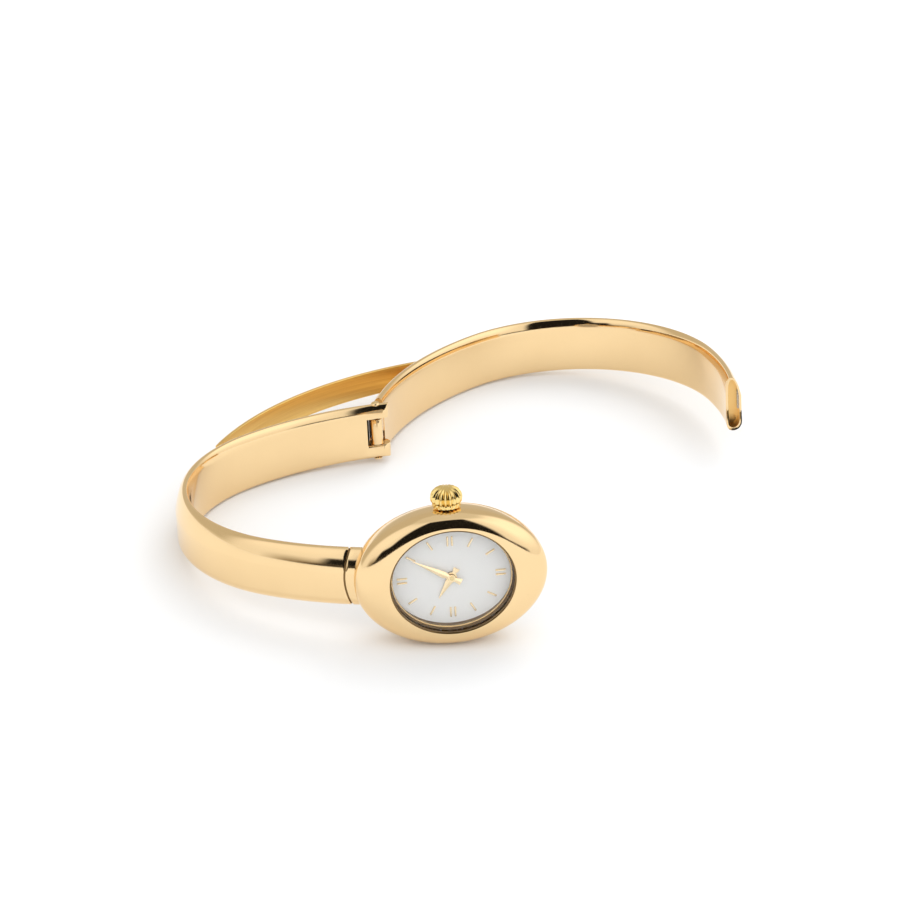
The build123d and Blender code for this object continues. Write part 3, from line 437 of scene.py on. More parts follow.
def draw_outline(name, points):
    """A closed outline, extruded corner by corner from one vertex."""
    piece = add(name, "plane", size=1)
    edit("VERT")
    bpy.ops.mesh.merge(type="CENTER")
    bpy.ops.transform.translate(value=(*points[0], 0))
    for last, point in zip(points, points[1:]):
        extrude(point[0] - last[0], point[1] - last[1], 0)
    select(piece, lambda v: len(v.link_edges) == 1)
    bpy.ops.mesh.edge_face_add()
    leave()
    return piece


def creased_round(depth, rise, crease):
    """Points (in from the face, down from the top) of a tall rounding that starts at a soft crease."""
    slant = tan(crease) * rise / depth
    part = slant / (1 - slant)
    across, up = depth / sqrt(1 - part**2), rise / (1 - part)
    points = [(0, rise + CREASE_RUN)]
    for step in range(ARC_STEPS + 1):
        normal = crease + (pi / 2 - crease) * step / ARC_STEPS
        angle = atan2(up * sin(normal), across * cos(normal))
        points.append((depth - across * cos(angle), up * (1 - sin(angle))))
    return points


def band_section(across=1.0, up=1.0):
    """The band's outline, or a smaller one inside it: X out of the ring, Y up."""
    band = sizes("band")
    half, top, inner, lower = band.thickness / 2, band.width / 2, band.inner_round, band.lower_round
    outer_edge = creased_round(band.outer_round, band.outer_rise, band.outer_crease)
    inner_edge = creased_round(inner, band.inner_rise, band.inner_crease)
    points = [(half - x, top - down) for x, down in outer_edge]
    points += [(x - half, top - down) for x, down in reversed(inner_edge)]
    for radius, corner, start in ((inner, inner - half, 180), (lower, half - lower, 270)):
        for step in range(ARC_STEPS + 1):
            angle = radians(start + 90 * step / ARC_STEPS)
            points.append((corner + radius * cos(angle), radius - top + radius * sin(angle)))
    return [(x * across, y * up) for x, y in points]


def strip_section(low, high, width):
    """A flat strip's outline between two distances from the band's middle."""
    return [(low, -width / 2), (high, -width / 2), (high, width / 2), (low, width / 2)]


def spin_band(name, start, end, outline=None):
    """A stretch of the oval band: its outline, or another, spun about the centres of the oval's arcs."""
    piece = draw_outline(name, outline or band_section())
    middle = oval_point(start, sizes("band").thickness / 2)
    settle(piece, Matrix.Translation(middle) @ standing(direction(radians(start))))
    runs = arc_runs(start, end)
    sweep_outline(piece, [(centre, radians(sweep), max(1, round(sweep))) for centre, sweep in runs])
    face_out()
    leave()
    return piece


def box_tool(name, matrix, low, high):
    """A plain block between two corners in a place's own directions, to cut or join with."""
    low, high = Vector(low), Vector(high)
    tool = add(name, "cube", size=1, location=(low + high) / 2)
    tool.scale = high - low
    settle(tool)
    settle(tool, matrix)
    return tool


def round_tool(name, matrix, radius, low, high, at=(0, 0), vertices=MIDDLING):
    """A plain round bar along a place's own Z, to cut or join with."""
    middle = (*at, (low + high) / 2)
    tool = add(name, "cylinder", radius=radius, depth=high - low, vertices=vertices, location=middle)
    settle(tool)
    settle(tool, matrix)
    return tool


def oval_rings(name, rings, vertices=LARGE):
    """A closed ring drawn from oval to oval, each (depth, half width, half height), and back to the first."""
    depth = sizes("band").half_depth
    start = (0, -depth - rings[0][0], 0)
    piece = add(name, "circle", radius=1, vertices=vertices, location=start, rotation=(pi / 2, 0, 0))
    settle(piece)
    edit()
    bpy.ops.transform.resize(value=(rings[0][1], 1, rings[0][2]), center_override=start)
    for last, ring in zip(rings, rings[1:]):
        factor = (ring[1] / last[1], 1, ring[2] / last[2])
        extrude_ring((0, last[0] - ring[0], 0), factor, (0, -depth - ring[0], 0))
    select_rim(piece)
    bpy.ops.mesh.bridge_edge_loops()
    leave()
    return piece


def oval_tool(name, gap):
    """A bar with the case's outline and a gap round it, through the whole ring from front to back."""
    case, reach = sizes("case"), sizes("band").half_depth
    tool = add(
        name, "cylinder", radius=1, depth=2 * reach, vertices=LARGE, location=(0, -reach - reach / 4, 0),
        rotation=(pi / 2, 0, 0),
    )
    settle(tool)
    tool.scale = (case.half_width + gap, 1, case.half_height + gap)
    settle(tool)
    return tool


# ---- Finishes ----

WEAR = {"Colour": (0.8, 0.8, 0.8, 1), "Size": 300.0, "Tone": 0.05, "Gloss": 0.1, "Marks": 0.05, "Hairlines": 0.02}
GRAIN = {"Colour": (0.8, 0.8, 0.8, 1), "Fineness": 9000.0, "Contrast": 0.3, "Gloss": 0.3, "Depth": 0.2}
# Metallic, specular level, then the values of WEAR or GRAIN in their order
FINISHES = {
    "Polished gold plating": (1.0, 0.5, "gold", 160.0, 0.1, 0.05, 0.05, 0.03),
    "Crown gold plating": (1.0, 0.5, "crown_gold", 500.0, 0.25, 0.1, 0.1, 0.05),
    "Gold trim": (1.0, 0.5, "trim", 900.0, 0.15, 0.16, 0.08, 0.04),
    "Brushed gold plating": (1.0, 0.5, "brushed_gold", 9000.0, 0.4, 0.28, 0.35),
    # A darkened gold that is painted shade, for the bead deep in the recess round the dial
    "Painted shade gold": (1.0, 0.5, (0.66, 0.45, 0.19), 400.0, 0.25, 0.18, 0.05, 0.08),
    # An orange gold that is a painted reflection, for the lining deep in the hollow end
    "Painted reflection gold": (1.0, 0.5, (0.95, 0.62, 0.24), 300.0, 0.25, 0.35, 0.05, 0.08),
    # Near-black bronze that is painted shade: the joint filler by the case, the line round the opening, the ring
    # round the dial and the link
    "Painted shade bronze": (1.0, 0.5, (0.22, 0.14, 0.06), 200.0, 0.25, 0.3, 0.03, 0.08),
    "Polished steel": (1.0, 0.5, "steel", 700.0, 0.15, 0.18, 0.1, 0.1),
    "Movement steel": (1.0, 0.5, "steel", 700.0, 0.15, 0.25, 0.1, 0.1),
    "Brushed steel": (1.0, 0.5, "steel", 7000.0, 0.25, 0.25, 0.3),
    "Copper winding": (1.0, 0.5, (0.7, 0.3, 0.14), 4000.0, 0.25, 0.35, 0.12, 0.08),
    "Dial lacquer": (0.0, 0.3, "lacquer", 220.0, 0.03, 0.42, 0.06, 0.01),
    "White floor": (0.0, 0.0, "floor", 3.0, 0.0, 0.9, 0.0, 0.0),
}
PLAIN = {  # Metallic, colour and gloss of the rest, which share the other values
    # Near-black, painted shade for the hinge's window
    "Painted shade black": (0.0, (0.02, 0.016, 0.014), 0.5),
    "Spring steel": (1.0, (0.5, 0.5, 0.52), 0.22),
    "Cell steel": (1.0, (0.62, 0.62, 0.63), 0.3),
    "Soft iron": (1.0, (0.4, 0.4, 0.41), 0.4),
    "Rotor magnet": (1.0, (0.2, 0.2, 0.21), 0.35),
    "Plate brass": (1.0, (0.75, 0.6, 0.33), 0.25),
    "Wheel brass": (1.0, (0.8, 0.62, 0.3), 0.2),
    "Board lacquer": (0.0, (0.03, 0.16, 0.06), 0.3),
    "Movement plastic": (0.0, (0.55, 0.55, 0.52), 0.45),
    "Seal rubber": (0.0, (0.03, 0.03, 0.032), 0.6),
    "Crystal seal": (0.0, (0.05, 0.04, 0.03), 0.4),
}
FINISHES |= {
    name: (metallic, 0.5, colour, 600.0, 0.25, gloss, 0.12, 0.08) for name, (metallic, colour, gloss) in PLAIN.items()
}


def node(tree, kind, inputs=None, **options):
    """A node with its options and its inputs, each a value or another node's output."""
    made = tree.nodes.new(f"ShaderNode{kind}")
    for option, value in options.items():
        setattr(made, option, value)
    for place, value in (inputs or {}).items():
        if isinstance(value, bpy.types.NodeSocket):
            tree.links.new(value, made.inputs[place])
        else:
            made.inputs[place].default_value = value
    return made


def mixed(tree, factor, first, second, blend="MIX"):
    """Two colours mixed by a factor."""
    return node(tree, "Mix", {0: factor, 6: first, 7: second}, data_type="RGBA", blend_type=blend).outputs[2]


def sum_of(tree, kind, first, second):
    """Result of one sum on two values."""
    return node(tree, "Math", {0: first, 1: second}, operation=kind).outputs[0]


def noise(tree, place, size, detail):
    return node(tree, "TexNoise", {"Vector": place, "Scale": size, "Detail": detail}).outputs[0]


def spread(tree, value, low, high):
    """A value stretched from between two limits to the whole of zero to one."""
    return node(tree, "MapRange", {"Value": value, "From Min": low, "From Max": high}).outputs[0]


def start_group(name, inputs):
    """A node group that gives out a colour, a roughness and a normal, with its ends and object coordinates."""
    tree = bpy.data.node_groups.new(name, "ShaderNodeTree")
    for label, default in inputs.items():
        kind = "NodeSocketFloat" if isinstance(default, float) else "NodeSocketColor"
        tree.interface.new_socket(name=label, in_out="INPUT", socket_type=kind).default_value = default
    for label, kind in (("Colour", "Color"), ("Roughness", "Float"), ("Normal", "Vector")):
        tree.interface.new_socket(name=label, in_out="OUTPUT", socket_type=f"NodeSocket{kind}")
    given = tree.nodes.new("NodeGroupInput").outputs
    return tree, given, tree.nodes.new("NodeGroupOutput").inputs, node(tree, "TexCoord").outputs["Object"]


def end_group(tree, given, out, dark, share, rough, lines, depth):
    """Links the darkened colour, the roughness and the relief of the lines to the group's outputs."""
    darker = mixed(tree, 1.0, given["Colour"], dark, "MULTIPLY")
    tree.links.new(mixed(tree, share, given["Colour"], darker), out["Colour"])
    tree.links.new(rough, out["Roughness"])
    bump = node(tree, "Bump", {"Height": lines, "Strength": depth, "Distance": 2e-5})
    tree.links.new(bump.outputs[0], out["Normal"])
    return tree


def wear_group():
    """Soft unevenness of tone, handling marks in the gloss and hairline scratches."""
    tree, given, out, place = start_group("Handling wear", WEAR)
    broad = spread(tree, noise(tree, place, given["Size"], 3.0), 0.35, 0.75)
    share = sum_of(tree, "MULTIPLY", broad, given["Tone"])
    fine_size = sum_of(tree, "MULTIPLY", given["Size"], 6.0)
    marks = sum_of(tree, "MULTIPLY", noise(tree, place, fine_size, 4.0), given["Marks"])
    rough = sum_of(tree, "ADD", given["Gloss"], marks)
    drawn = node(tree, "Mapping", {"Vector": place, "Rotation": (0.3, 0.5, 0.9), "Scale": (1.0, 14.0, 1.0)})
    lines = noise(tree, drawn.outputs[0], fine_size, 2.0)
    return end_group(tree, given, out, (0.72, 0.62, 0.5, 1), share, rough, lines, given["Hairlines"])


def grain_group():
    """Straight grain left by brushing, fine across the band's width and long round it."""
    tree, given, out, place = start_group("Brushed grain", GRAIN)
    drawn = node(tree, "Mapping", {"Vector": place, "Scale": (0.012, 0.012, 1.0)}).outputs[0]
    fine = noise(tree, drawn, given["Fineness"], 3.0)
    coarse = noise(tree, drawn, sum_of(tree, "MULTIPLY", given["Fineness"], 0.22), 2.0)
    lines = sum_of(tree, "ADD", sum_of(tree, "MULTIPLY", fine, 0.5), sum_of(tree, "MULTIPLY", coarse, 0.5))
    dips = spread(tree, lines, 0.36, 0.64)
    share = sum_of(tree, "MULTIPLY", dips, given["Contrast"])
    rough = sum_of(tree, "ADD", given["Gloss"], sum_of(tree, "MULTIPLY", dips, 0.12))
    return end_group(tree, given, out, (0.62, 0.48, 0.32, 1), share, rough, lines, given["Depth"])


def start_material(name):
    material = bpy.data.materials.new(name)
    material.use_nodes = True
    return material, material.node_tree, material.node_tree.nodes["Principled BSDF"]


def finish(name):
    """A material whose colour, gloss and relief come from a shared group, made once."""
    if name in bpy.data.materials:
        return bpy.data.materials[name]
    metallic, specular, colour, *values = FINISHES[name]
    if isinstance(colour, str):
        colour = getattr(bpy.context.scene.watch_finishes, colour)
    material, tree, shader = start_material(name)
    shader.inputs["Metallic"].default_value = metallic
    shader.inputs["Specular IOR Level"].default_value = specular
    labels, label, make = (GRAIN, "Brushed grain", grain_group) if name.startswith("Brushed") else (
        WEAR, "Handling wear", wear_group
    )
    surface = tree.nodes.new("ShaderNodeGroup")
    surface.node_tree = bpy.data.node_groups.get(label) or make()
    for label, value in zip(labels, [(*colour, 1), *values]):
        surface.inputs[label].default_value = value
    for label, target in (("Colour", "Base Color"), ("Roughness", "Roughness"), ("Normal", "Normal")):
        tree.links.new(surface.outputs[label], shader.inputs[target])
    return material


def clear_crystal():
    """Mineral glass that lets lamps through."""
    material, tree, shader = start_material("Mineral crystal")
    shader.inputs["Transmission Weight"].default_value = 1.0
    shader.inputs["IOR"].default_value = 1.5
    shader.inputs["Base Color"].default_value = (1, 1, 1, 1)
    smears = noise(tree, node(tree, "TexCoord").outputs["Object"], 250.0, 3.0)
    tree.links.new(sum_of(tree, "MULTIPLY", smears, 0.02), shader.inputs["Roughness"])
    through = node(tree, "BsdfTransparent").outputs[0]
    shadow = node(tree, "LightPath").outputs["Is Shadow Ray"]
    blend = node(tree, "MixShader", {0: shadow, 1: shader.outputs[0], 2: through})
    tree.links.new(blend.outputs[0], tree.nodes["Material Output"].inputs["Surface"])
    return material


def dress(material, *names):
    """Gives CAD nodes whose shape is right their finish."""
    for name in names:
        data = frame["nodes"][name].data
        data.materials.clear()
        data.materials.append(material)


# ---- The pieces ----


class WATCH_OT_fixed_half(Operator):
    """Spins the fixed half of the band and cuts its ears and window"""

    bl_idname = "watch.fixed_half"
    bl_label = "Fixed half"

    def execute(self, context):
        band, hinge = sizes("band"), sizes("hinge")
        reach, width, nose, over = hinge.ear_reach, band.width, band.thickness / 2, 2 * band.thickness
        past_hinge = degrees((reach + nose + over / 4) / oval()[2])
        piece = spin_band("band_fixed_half", INSIDE_CASE, degrees(hinge.normal) - past_hinge)
        combine(piece, oval_tool("case_cut", band.collar + band.case_gap))
        middle = nose - hinge.inset
        nose_cut = box_tool(
            "nose_cut", hinge_frame(), (reach, middle - over, -width), (reach + over, middle + over, width)
        )
        combine(nose_cut, round_tool("nose_round", hinge_frame(), nose, -2 * width, 2 * width, (reach, middle), 128))
        combine(piece, nose_cut)
        half = hinge.window_width / 2
        low, high = (-hinge.window_length, -over, -half), (reach + over, over, half)
        combine(piece, box_tool("window_cut", hinge_frame(), low, high))
        soften(piece, EAR_EDGE)
        hand_over(piece, "fixed_band", "gold_polished", "Polished gold plating", "fixed_half")
        # A near-black filler in the gap between the fixed half and the case's stub: painted shade for the dark crease
        # there
        filler = spin_band("case_joint", INSIDE_CASE, JOINT_END, band_section(*JOINT_SHARE))
        combine(filler, oval_tool("joint_end", band.collar + 2 * band.case_gap), "INTERSECT")
        hand_over(filler, "fixed_band", "gold_polished", "Painted shade bronze")
        return {"FINISHED"}


class WATCH_OT_hinge_leaf(Operator):
    """Closes the hinge's window from outside with a thin near-black leaf that follows the band, painted shade for the
    dark window
    """

    bl_idname = "watch.hinge_leaf"
    bl_label = "Hinge leaf"

    def execute(self, context):
        hinge = sizes("hinge")
        side_lap, back, front, barrel_gap = 0.02, 0.45, 0.12, 0.06
        place = degrees(hinge.normal)
        piece = spin_band("hinge_leaf", place + WINDOW_RUN[0], place + WINDOW_RUN[1])
        outside = sizes("band").thickness - hinge.inset
        leaf = box_tool(
            "leaf_cut", hinge_frame(),
            (-hinge.window_length - side_lap, outside - back, -hinge.window_width / 2 - side_lap),
            (-hinge.barrel_radius - barrel_gap, outside - front, hinge.window_width / 2 + side_lap),
        )
        combine(piece, leaf, "INTERSECT")
        soften(piece, WINDOW_LEAF_EDGE)
        hand_over(piece, "fixed_band", None, "Painted shade black")
        return {"FINISHED"}


class WATCH_OT_swing_half(Operator):
    """Spins the swing half of the band, with its knuckle and its hollow end"""

    bl_idname = "watch.swing_half"
    bl_label = "Swing half"

    def execute(self, context):
        band, hinge = sizes("band"), sizes("hinge")
        piece = spin_band("band_swing_half", degrees(hinge.normal) + SWING_START, SWING_END)
        combine(piece, oval_tool("mouth_cut", band.mouth_gap))
        sweep = hypot(hinge.ear_reach + band.thickness / 2, band.thickness / 2 - hinge.inset) + hinge.clearance
        combine(piece, round_tool("ear_clearance", hinge_frame(), sweep, -band.width, band.width, vertices=160))
        floor = MOUTH + degrees((band.mouth_gap + band.socket_depth) / oval()[2])
        hollow = band_section(band.socket_thickness, band.socket_width)
        combine(piece, spin_band("socket_cut", floor, MOUTH + SOCKET_END, hollow))
        soften(piece, MOUTH_EDGE)
        barrel, half = hinge.barrel_radius, hinge.knuckle_width / 2
        knuckle = round_tool("knuckle", hinge_frame(), barrel, -half, half)
        neck_end = (sweep + KNUCKLE_LAP, barrel, half)
        neck = box_tool("knuckle_neck", hinge_frame(), (0, -hinge.inset, -half), neck_end)
        combine(knuckle, neck, "UNION")
        soften(knuckle, KNUCKLE_EDGE)
        combine(piece, knuckle, "UNION")
        hand_over(piece, "swing_band", "gold_polished", "Polished gold plating", "swing_half")
        # An orange gold lining deep in the hollow end: painted warm reflection of the gold walls in the recess
        lining = band_section(band.socket_thickness * REFLECTION_LINING_FIT[0], band.socket_width * REFLECTION_LINING_FIT[1])
        reflection_lining = spin_band("socket_reflection_lining", floor + REFLECTION_LINING_RUN[0], floor + REFLECTION_LINING_RUN[1], lining)
        hand_over(reflection_lining, "swing_band", "gold_brushed", "Painted reflection gold")
        return {"FINISHED"}


class WATCH_OT_catch(Operator):
    """Bends the catch's spring leaf into the hollow end, and its tongue in the case's side"""

    bl_idname = "watch.catch"
    bl_label = "Catch"

    def execute(self, context):
        band = sizes("band")
        outer, thickness = band.thickness * band.socket_thickness / 2, band.leaf_thickness
        outline = strip_section(outer - thickness, outer, band.leaf_width)
        leaf = spin_band("leaf_of_catch", MOUTH + LEAF_RUN[0], MOUTH + LEAF_RUN[1], outline)
        soften(leaf, thickness / 6)
        hand_over(leaf, "swing_band", "spring_steel", "Spring steel", "catch_leaf")
        outer = band.tongue_thickness / 2
        outline = strip_section(-outer, outer, band.tongue_width)
        tongue = spin_band("tongue_of_catch", MOUTH + TONGUE_RUN[0], MOUTH + TONGUE_RUN[1], outline)
        combine(tongue, oval_tool("flush_cut", -outer / 9), "INTERSECT")
        soften(tongue, outer / 5)
        hand_over(tongue, "fixed_band", "gold_polished", "Polished gold plating", "catch_tongue")
        return {"FINISHED"}


class WATCH_OT_hinge_pin(Operator):
    """Turns the hinge pin with its domed head"""

    bl_idname = "watch.hinge_pin"
    bl_label = "Hinge pin"

    def execute(self, context):
        hinge, width = sizes("hinge"), sizes("band").width
        radius, head = hinge.pin_radius, hinge.head_radius
        straight, end_share = 0.7, 0.9
        piece = add("pin_of_hinge", "circle", radius=head, vertices=64)
        edit()
        bpy.ops.mesh.edge_face_add()
        last = head
        for part, rise in ((0.35, 0.3), (0.65, 0.25), (0.85, 0.25), (0.97, 0.25)):
            smaller = head * sqrt(1 - part**2) + DOME_FLAT * part
            extrude_ring((0, 0, hinge.head_height * rise), (smaller / last, smaller / last, 1))
            last = smaller
        select(piece, lambda f: f.normal.z < -0.5, "FACE")
        extrude_ring((0, 0, 0), (radius / head, radius / head, 1))
        extrude(0, 0, -width)
        extrude_ring((0, 0, 0), (head / radius, head / radius, 1), (0, 0, -width))
        foot = hinge.foot_height
        extrude(0, 0, -foot * straight)
        extrude_ring((0, 0, -foot * (1 - straight)), (end_share, end_share, 1), (0, 0, -width - foot))
        leave()
        settle(piece, hinge_frame() @ Matrix.Translation((0, 0, width / 2)))
        hand_over(piece, "fixed_band", "gold_polished", "Polished gold plating", "hinge_pin")
        return {"FINISHED"}


class WATCH_OT_guard(Operator):
    """Bends the guard blade that stands behind the hinge"""

    bl_idname = "watch.guard"
    bl_label = "Hinge guard"

    def execute(self, context):
        guard = sizes("guard")
        thickness, half_eye = guard.thickness, guard.eye_width / 2
        pivot = oval_point(degrees(guard.normal), guard.offset) + Vector((0, 0, guard.up))
        start = guard.lean + pi / 2 + guard.sweep / 2
        outward = direction(start)
        centre = pivot - guard.radius * outward
        piece = add("guard_blade", "plane", size=1)
        piece.scale = (thickness, guard.width, 1)
        settle(piece)
        edit("VERT")
        bpy.ops.mesh.bevel(
            offset_type="OFFSET", offset=thickness / 4, segments=4, affect="VERTICES", clamp_overlap=False
        )
        bpy.ops.mesh.select_mode(type="FACE")
        bpy.ops.mesh.select_all(action="SELECT")
        bpy.ops.mesh.delete(type="ONLY_FACE")
        leave()
        settle(piece, Matrix.Translation(pivot) @ standing(outward))
        past_neck = Matrix.Rotation(-guard.neck, 4, "Z")
        settle(piece, Matrix.Translation(centre) @ past_neck @ Matrix.Translation(-centre))
        sweep_outline(piece, [(centre, guard.sweep - guard.neck, GUARD_STEPS)])
        leave()
        across = Matrix.Translation((pivot.x, pivot.y, 0)) @ Matrix.Rotation(start, 4, "Z")
        eye = round_tool("guard_eye", across, guard.eye_radius, -half_eye, half_eye, vertices=SMALL)
        low = (-thickness / 2, -guard.radius * guard.neck - guard.corner, -half_eye)
        combine(eye, box_tool("guard_neck", across, low, (thickness / 2, 0, half_eye)), "UNION")
        combine(piece, eye, "UNION")
        combine(piece, round_tool("pin_hole", across, guard.pin_hole, -guard.width, guard.width, vertices=SMALL))
        hand_over(piece, "guard", "gold_brushed", "Brushed gold plating", "hinge_guard")
        return {"FINISHED"}


class WATCH_OT_case(Operator):
    """Draws the case out of ovals, from its back rim round the pebble to the opening"""

    bl_idname = "watch.case"
    bl_label = "Case"

    def execute(self, context):
        case = sizes("case")
        front, widest, back, inset, lip, glass = (
            case.front, case.widest, case.back, case.back_inset, case.lip, case.crystal_front
        )

        def ring(depth, outline, change=0.0):
            width, height = (getattr(case, f"{outline}half_{way}") for way in ("width", "height"))
            return depth, width + change, height + change

        rings = [ring(-back, "", -inset)]
        for step in range(BACK_STEPS - 1, -1, -1):
            angle = pi / 2 * step / BACK_STEPS
            shrink = inset * (1 - cos(angle))
            rings.append(ring(widest - (widest + back) * sin(angle), "", -shrink))
        lip_ring, outer = ring(front - lip, "opening_", lip), ring(widest, "")
        for step in range(1, FRONT_STEPS + 1):
            angle = pi / 2 * step / FRONT_STEPS
            rings.append((
                widest + (front - widest) * sin(angle),
                *(small + (large - small) * cos(angle) for small, large in zip(lip_ring[1:], outer[1:])),
            ))
        rings += [
            lip_ring, ring(front - lip, "opening_"), ring(glass, "opening_"), ring(glass, "cavity_"),
            ring(-back, "cavity_"),
        ]
        gold = ("fixed_band", "gold_polished", "Polished gold plating")
        hand_over(oval_rings("case_shell", rings, LARGEST), *gold, "case_body")
        stub = spin_band("case_collar", INSIDE_CASE, COLLAR_END)
        combine(stub, oval_tool("collar_end", sizes("band").collar), "INTERSECT")
        soften(stub, lip / 2)
        hand_over(stub, *gold)
        # A thin near-black ring round the lip of the opening: painted shade for the dark line there
        edge = [
            lip_ring, ring(front - lip / 5, "opening_", lip - lip / 8), ring(front, "opening_", lip - lip / 2),
            ring(front - lip / 8, "opening_"), ring(front - lip / 2, "opening_", -lip / 3),
            ring(glass, "opening_", -lip / 3), ring(glass, "opening_"), ring(front - lip, "opening_"),
        ]
        hand_over(oval_rings("opening_line", edge), "fixed_band", "gold_polished", "Painted shade bronze")
        bead = []
        for step in range(ARC_STEPS):
            angle = 2 * pi * step / ARC_STEPS
            reach = case.bead_radius * cos(angle) - case.bead_inset
            bead.append(ring(case.bead_depth + case.bead_radius * sin(angle), "opening_", reach))
        # The bead gets a darker gold: painted shade of the recess round the dial
        hand_over(oval_rings("dial_bead", bead), "fixed_band", "gold_trim", "Painted shade gold")
        return {"FINISHED"}


class WATCH_OT_hour_bars(Operator):
    """Models one hour bar and sets sixteen of them round the dial"""

    bl_idname = "watch.hour_bars"
    bl_label = "Hour bars"

    def execute(self, context):
        dial = sizes("dial")
        depth, height, pitch = sizes("case").dial, dial.marker_height, dial.pair_pitch
        top_shares = (0.94, 0.5, 1)
        bar = add("hour_bar", "cube", size=1, location=(0, 0, height / 2))
        bar.scale = (dial.marker_length, dial.marker_width, height)
        settle(bar)
        edit()
        select(bar, lambda f: f.normal.z > 0.5, "FACE")
        bpy.ops.transform.resize(value=top_shares, center_override=(0, 0, height))
        leave()
        soften(bar, dial.marker_width / 8)
        spots = []
        for hour in range(12):
            angle = pi - radians(30 * hour)
            reach = 1 / hypot(cos(angle) / dial.marker_half_width, sin(angle) / dial.marker_half_height)
            for shift in (-pitch / 2, pitch / 2) if hour % 3 == 0 else (0,):
                across = reach * cos(angle) - shift * sin(angle)
                rise = reach * sin(angle) + shift * cos(angle)
                spots.append(dial_place(across, rise, depth) @ Matrix.Rotation(angle, 4, "Z"))
        bars = [bar]
        while len(bars) < len(spots):
            copy = bar.copy()
            copy.data = bar.data.copy()
            context.collection.objects.link(copy)
            bars.append(copy)
        for number, (copy, spot) in enumerate(zip(bars, spots), 1):
            copy.name = copy.data.name = f"hour_bar_{number}"
            nodes = ["hour_markers"] if number == len(bars) else []
            hand_over(copy, "fixed_band", "gold_trim", "Gold trim", *nodes, spot=spot)
        return {"FINISHED"}


def model_hand(name, reach, hole):
    """A leaf-shaped hand along +X with a raised ridge, a flared tail and a boss with a hole."""
    dial = sizes("dial")
    width, tail, thickness = dial.hand_width, dial.hand_tail, dial.hand_thickness
    shoulder, flare, tip, side = 0.2, 2.0, 0.02, 0.4
    piece = add(name, "plane", size=1)
    piece.scale = (tail - hole, width / 2, 1)
    piece.location = (-(tail + hole) / 2, width / 4, 0)
    settle(piece)
    edit()
    select(piece, lambda v: v.co.x > -(tail + hole) / 2 and v.co.y > width / 4)
    bpy.ops.transform.translate(value=(0, -width / 4, 0))
    for start, end, factor in ((-hole, hole, 1), (hole, reach * shoulder, flare), (reach * shoulder, reach, tip)):
        select(piece, lambda e: all(abs(v.co.x - start) < NEAR for v in e.verts), "EDGE")
        extrude_ring((end - start, 0, 0), (1, factor, 1), (end, 0, 0))
    bpy.ops.mesh.select_all(action="SELECT")
    extrude(0, 0, thickness * side)
    select(piece, lambda v: v.co.z > thickness * side / 2 and v.co.y < NEAR)
    bpy.ops.transform.translate(value=(0, 0, thickness * (1 - side)))
    select(piece, lambda f: all(abs(v.co.y) < NEAR for v in f.verts), "FACE")
    bpy.ops.mesh.delete(type="FACE")
    leave()
    apply_modifier(piece, "MIRROR", use_axis=(False, True, False), use_clip=True, merge_threshold=0.001)
    edit()
    face_out()
    leave()
    combine(piece, round_tool("boss", Matrix(), hole + dial.hand_boss, 0, thickness, vertices=SMALL), "UNION")
    combine(piece, round_tool("hole", Matrix(), hole, -thickness, 2 * thickness, vertices=SMALL))
    return piece


class WATCH_OT_hands(Operator):
    """Models the hour hand and the minute hand"""

    bl_idname = "watch.hands"
    bl_label = "Hands"

    def execute(self, context):
        dial = sizes("dial")
        hours = dial.hour + dial.minute / 60
        for name, reach, hole, depth, turned in (
            ("hour", dial.hour_length, dial.hour_pipe_radius, dial.hour_depth, 30 * hours),
            ("minute", dial.minute_length, dial.cannon_radius, dial.minute_depth, 6 * dial.minute),
        ):
            spot = dial_place(0, 0, depth) @ Matrix.Rotation(radians(180 - turned), 4, "Z")
            piece = model_hand(f"hand_{name}", reach, hole)
            hand_over(piece, f"{name}_train", "gold_trim", "Gold trim", f"{name}_hand", spot=spot, smooth=20)
        return {"FINISHED"}


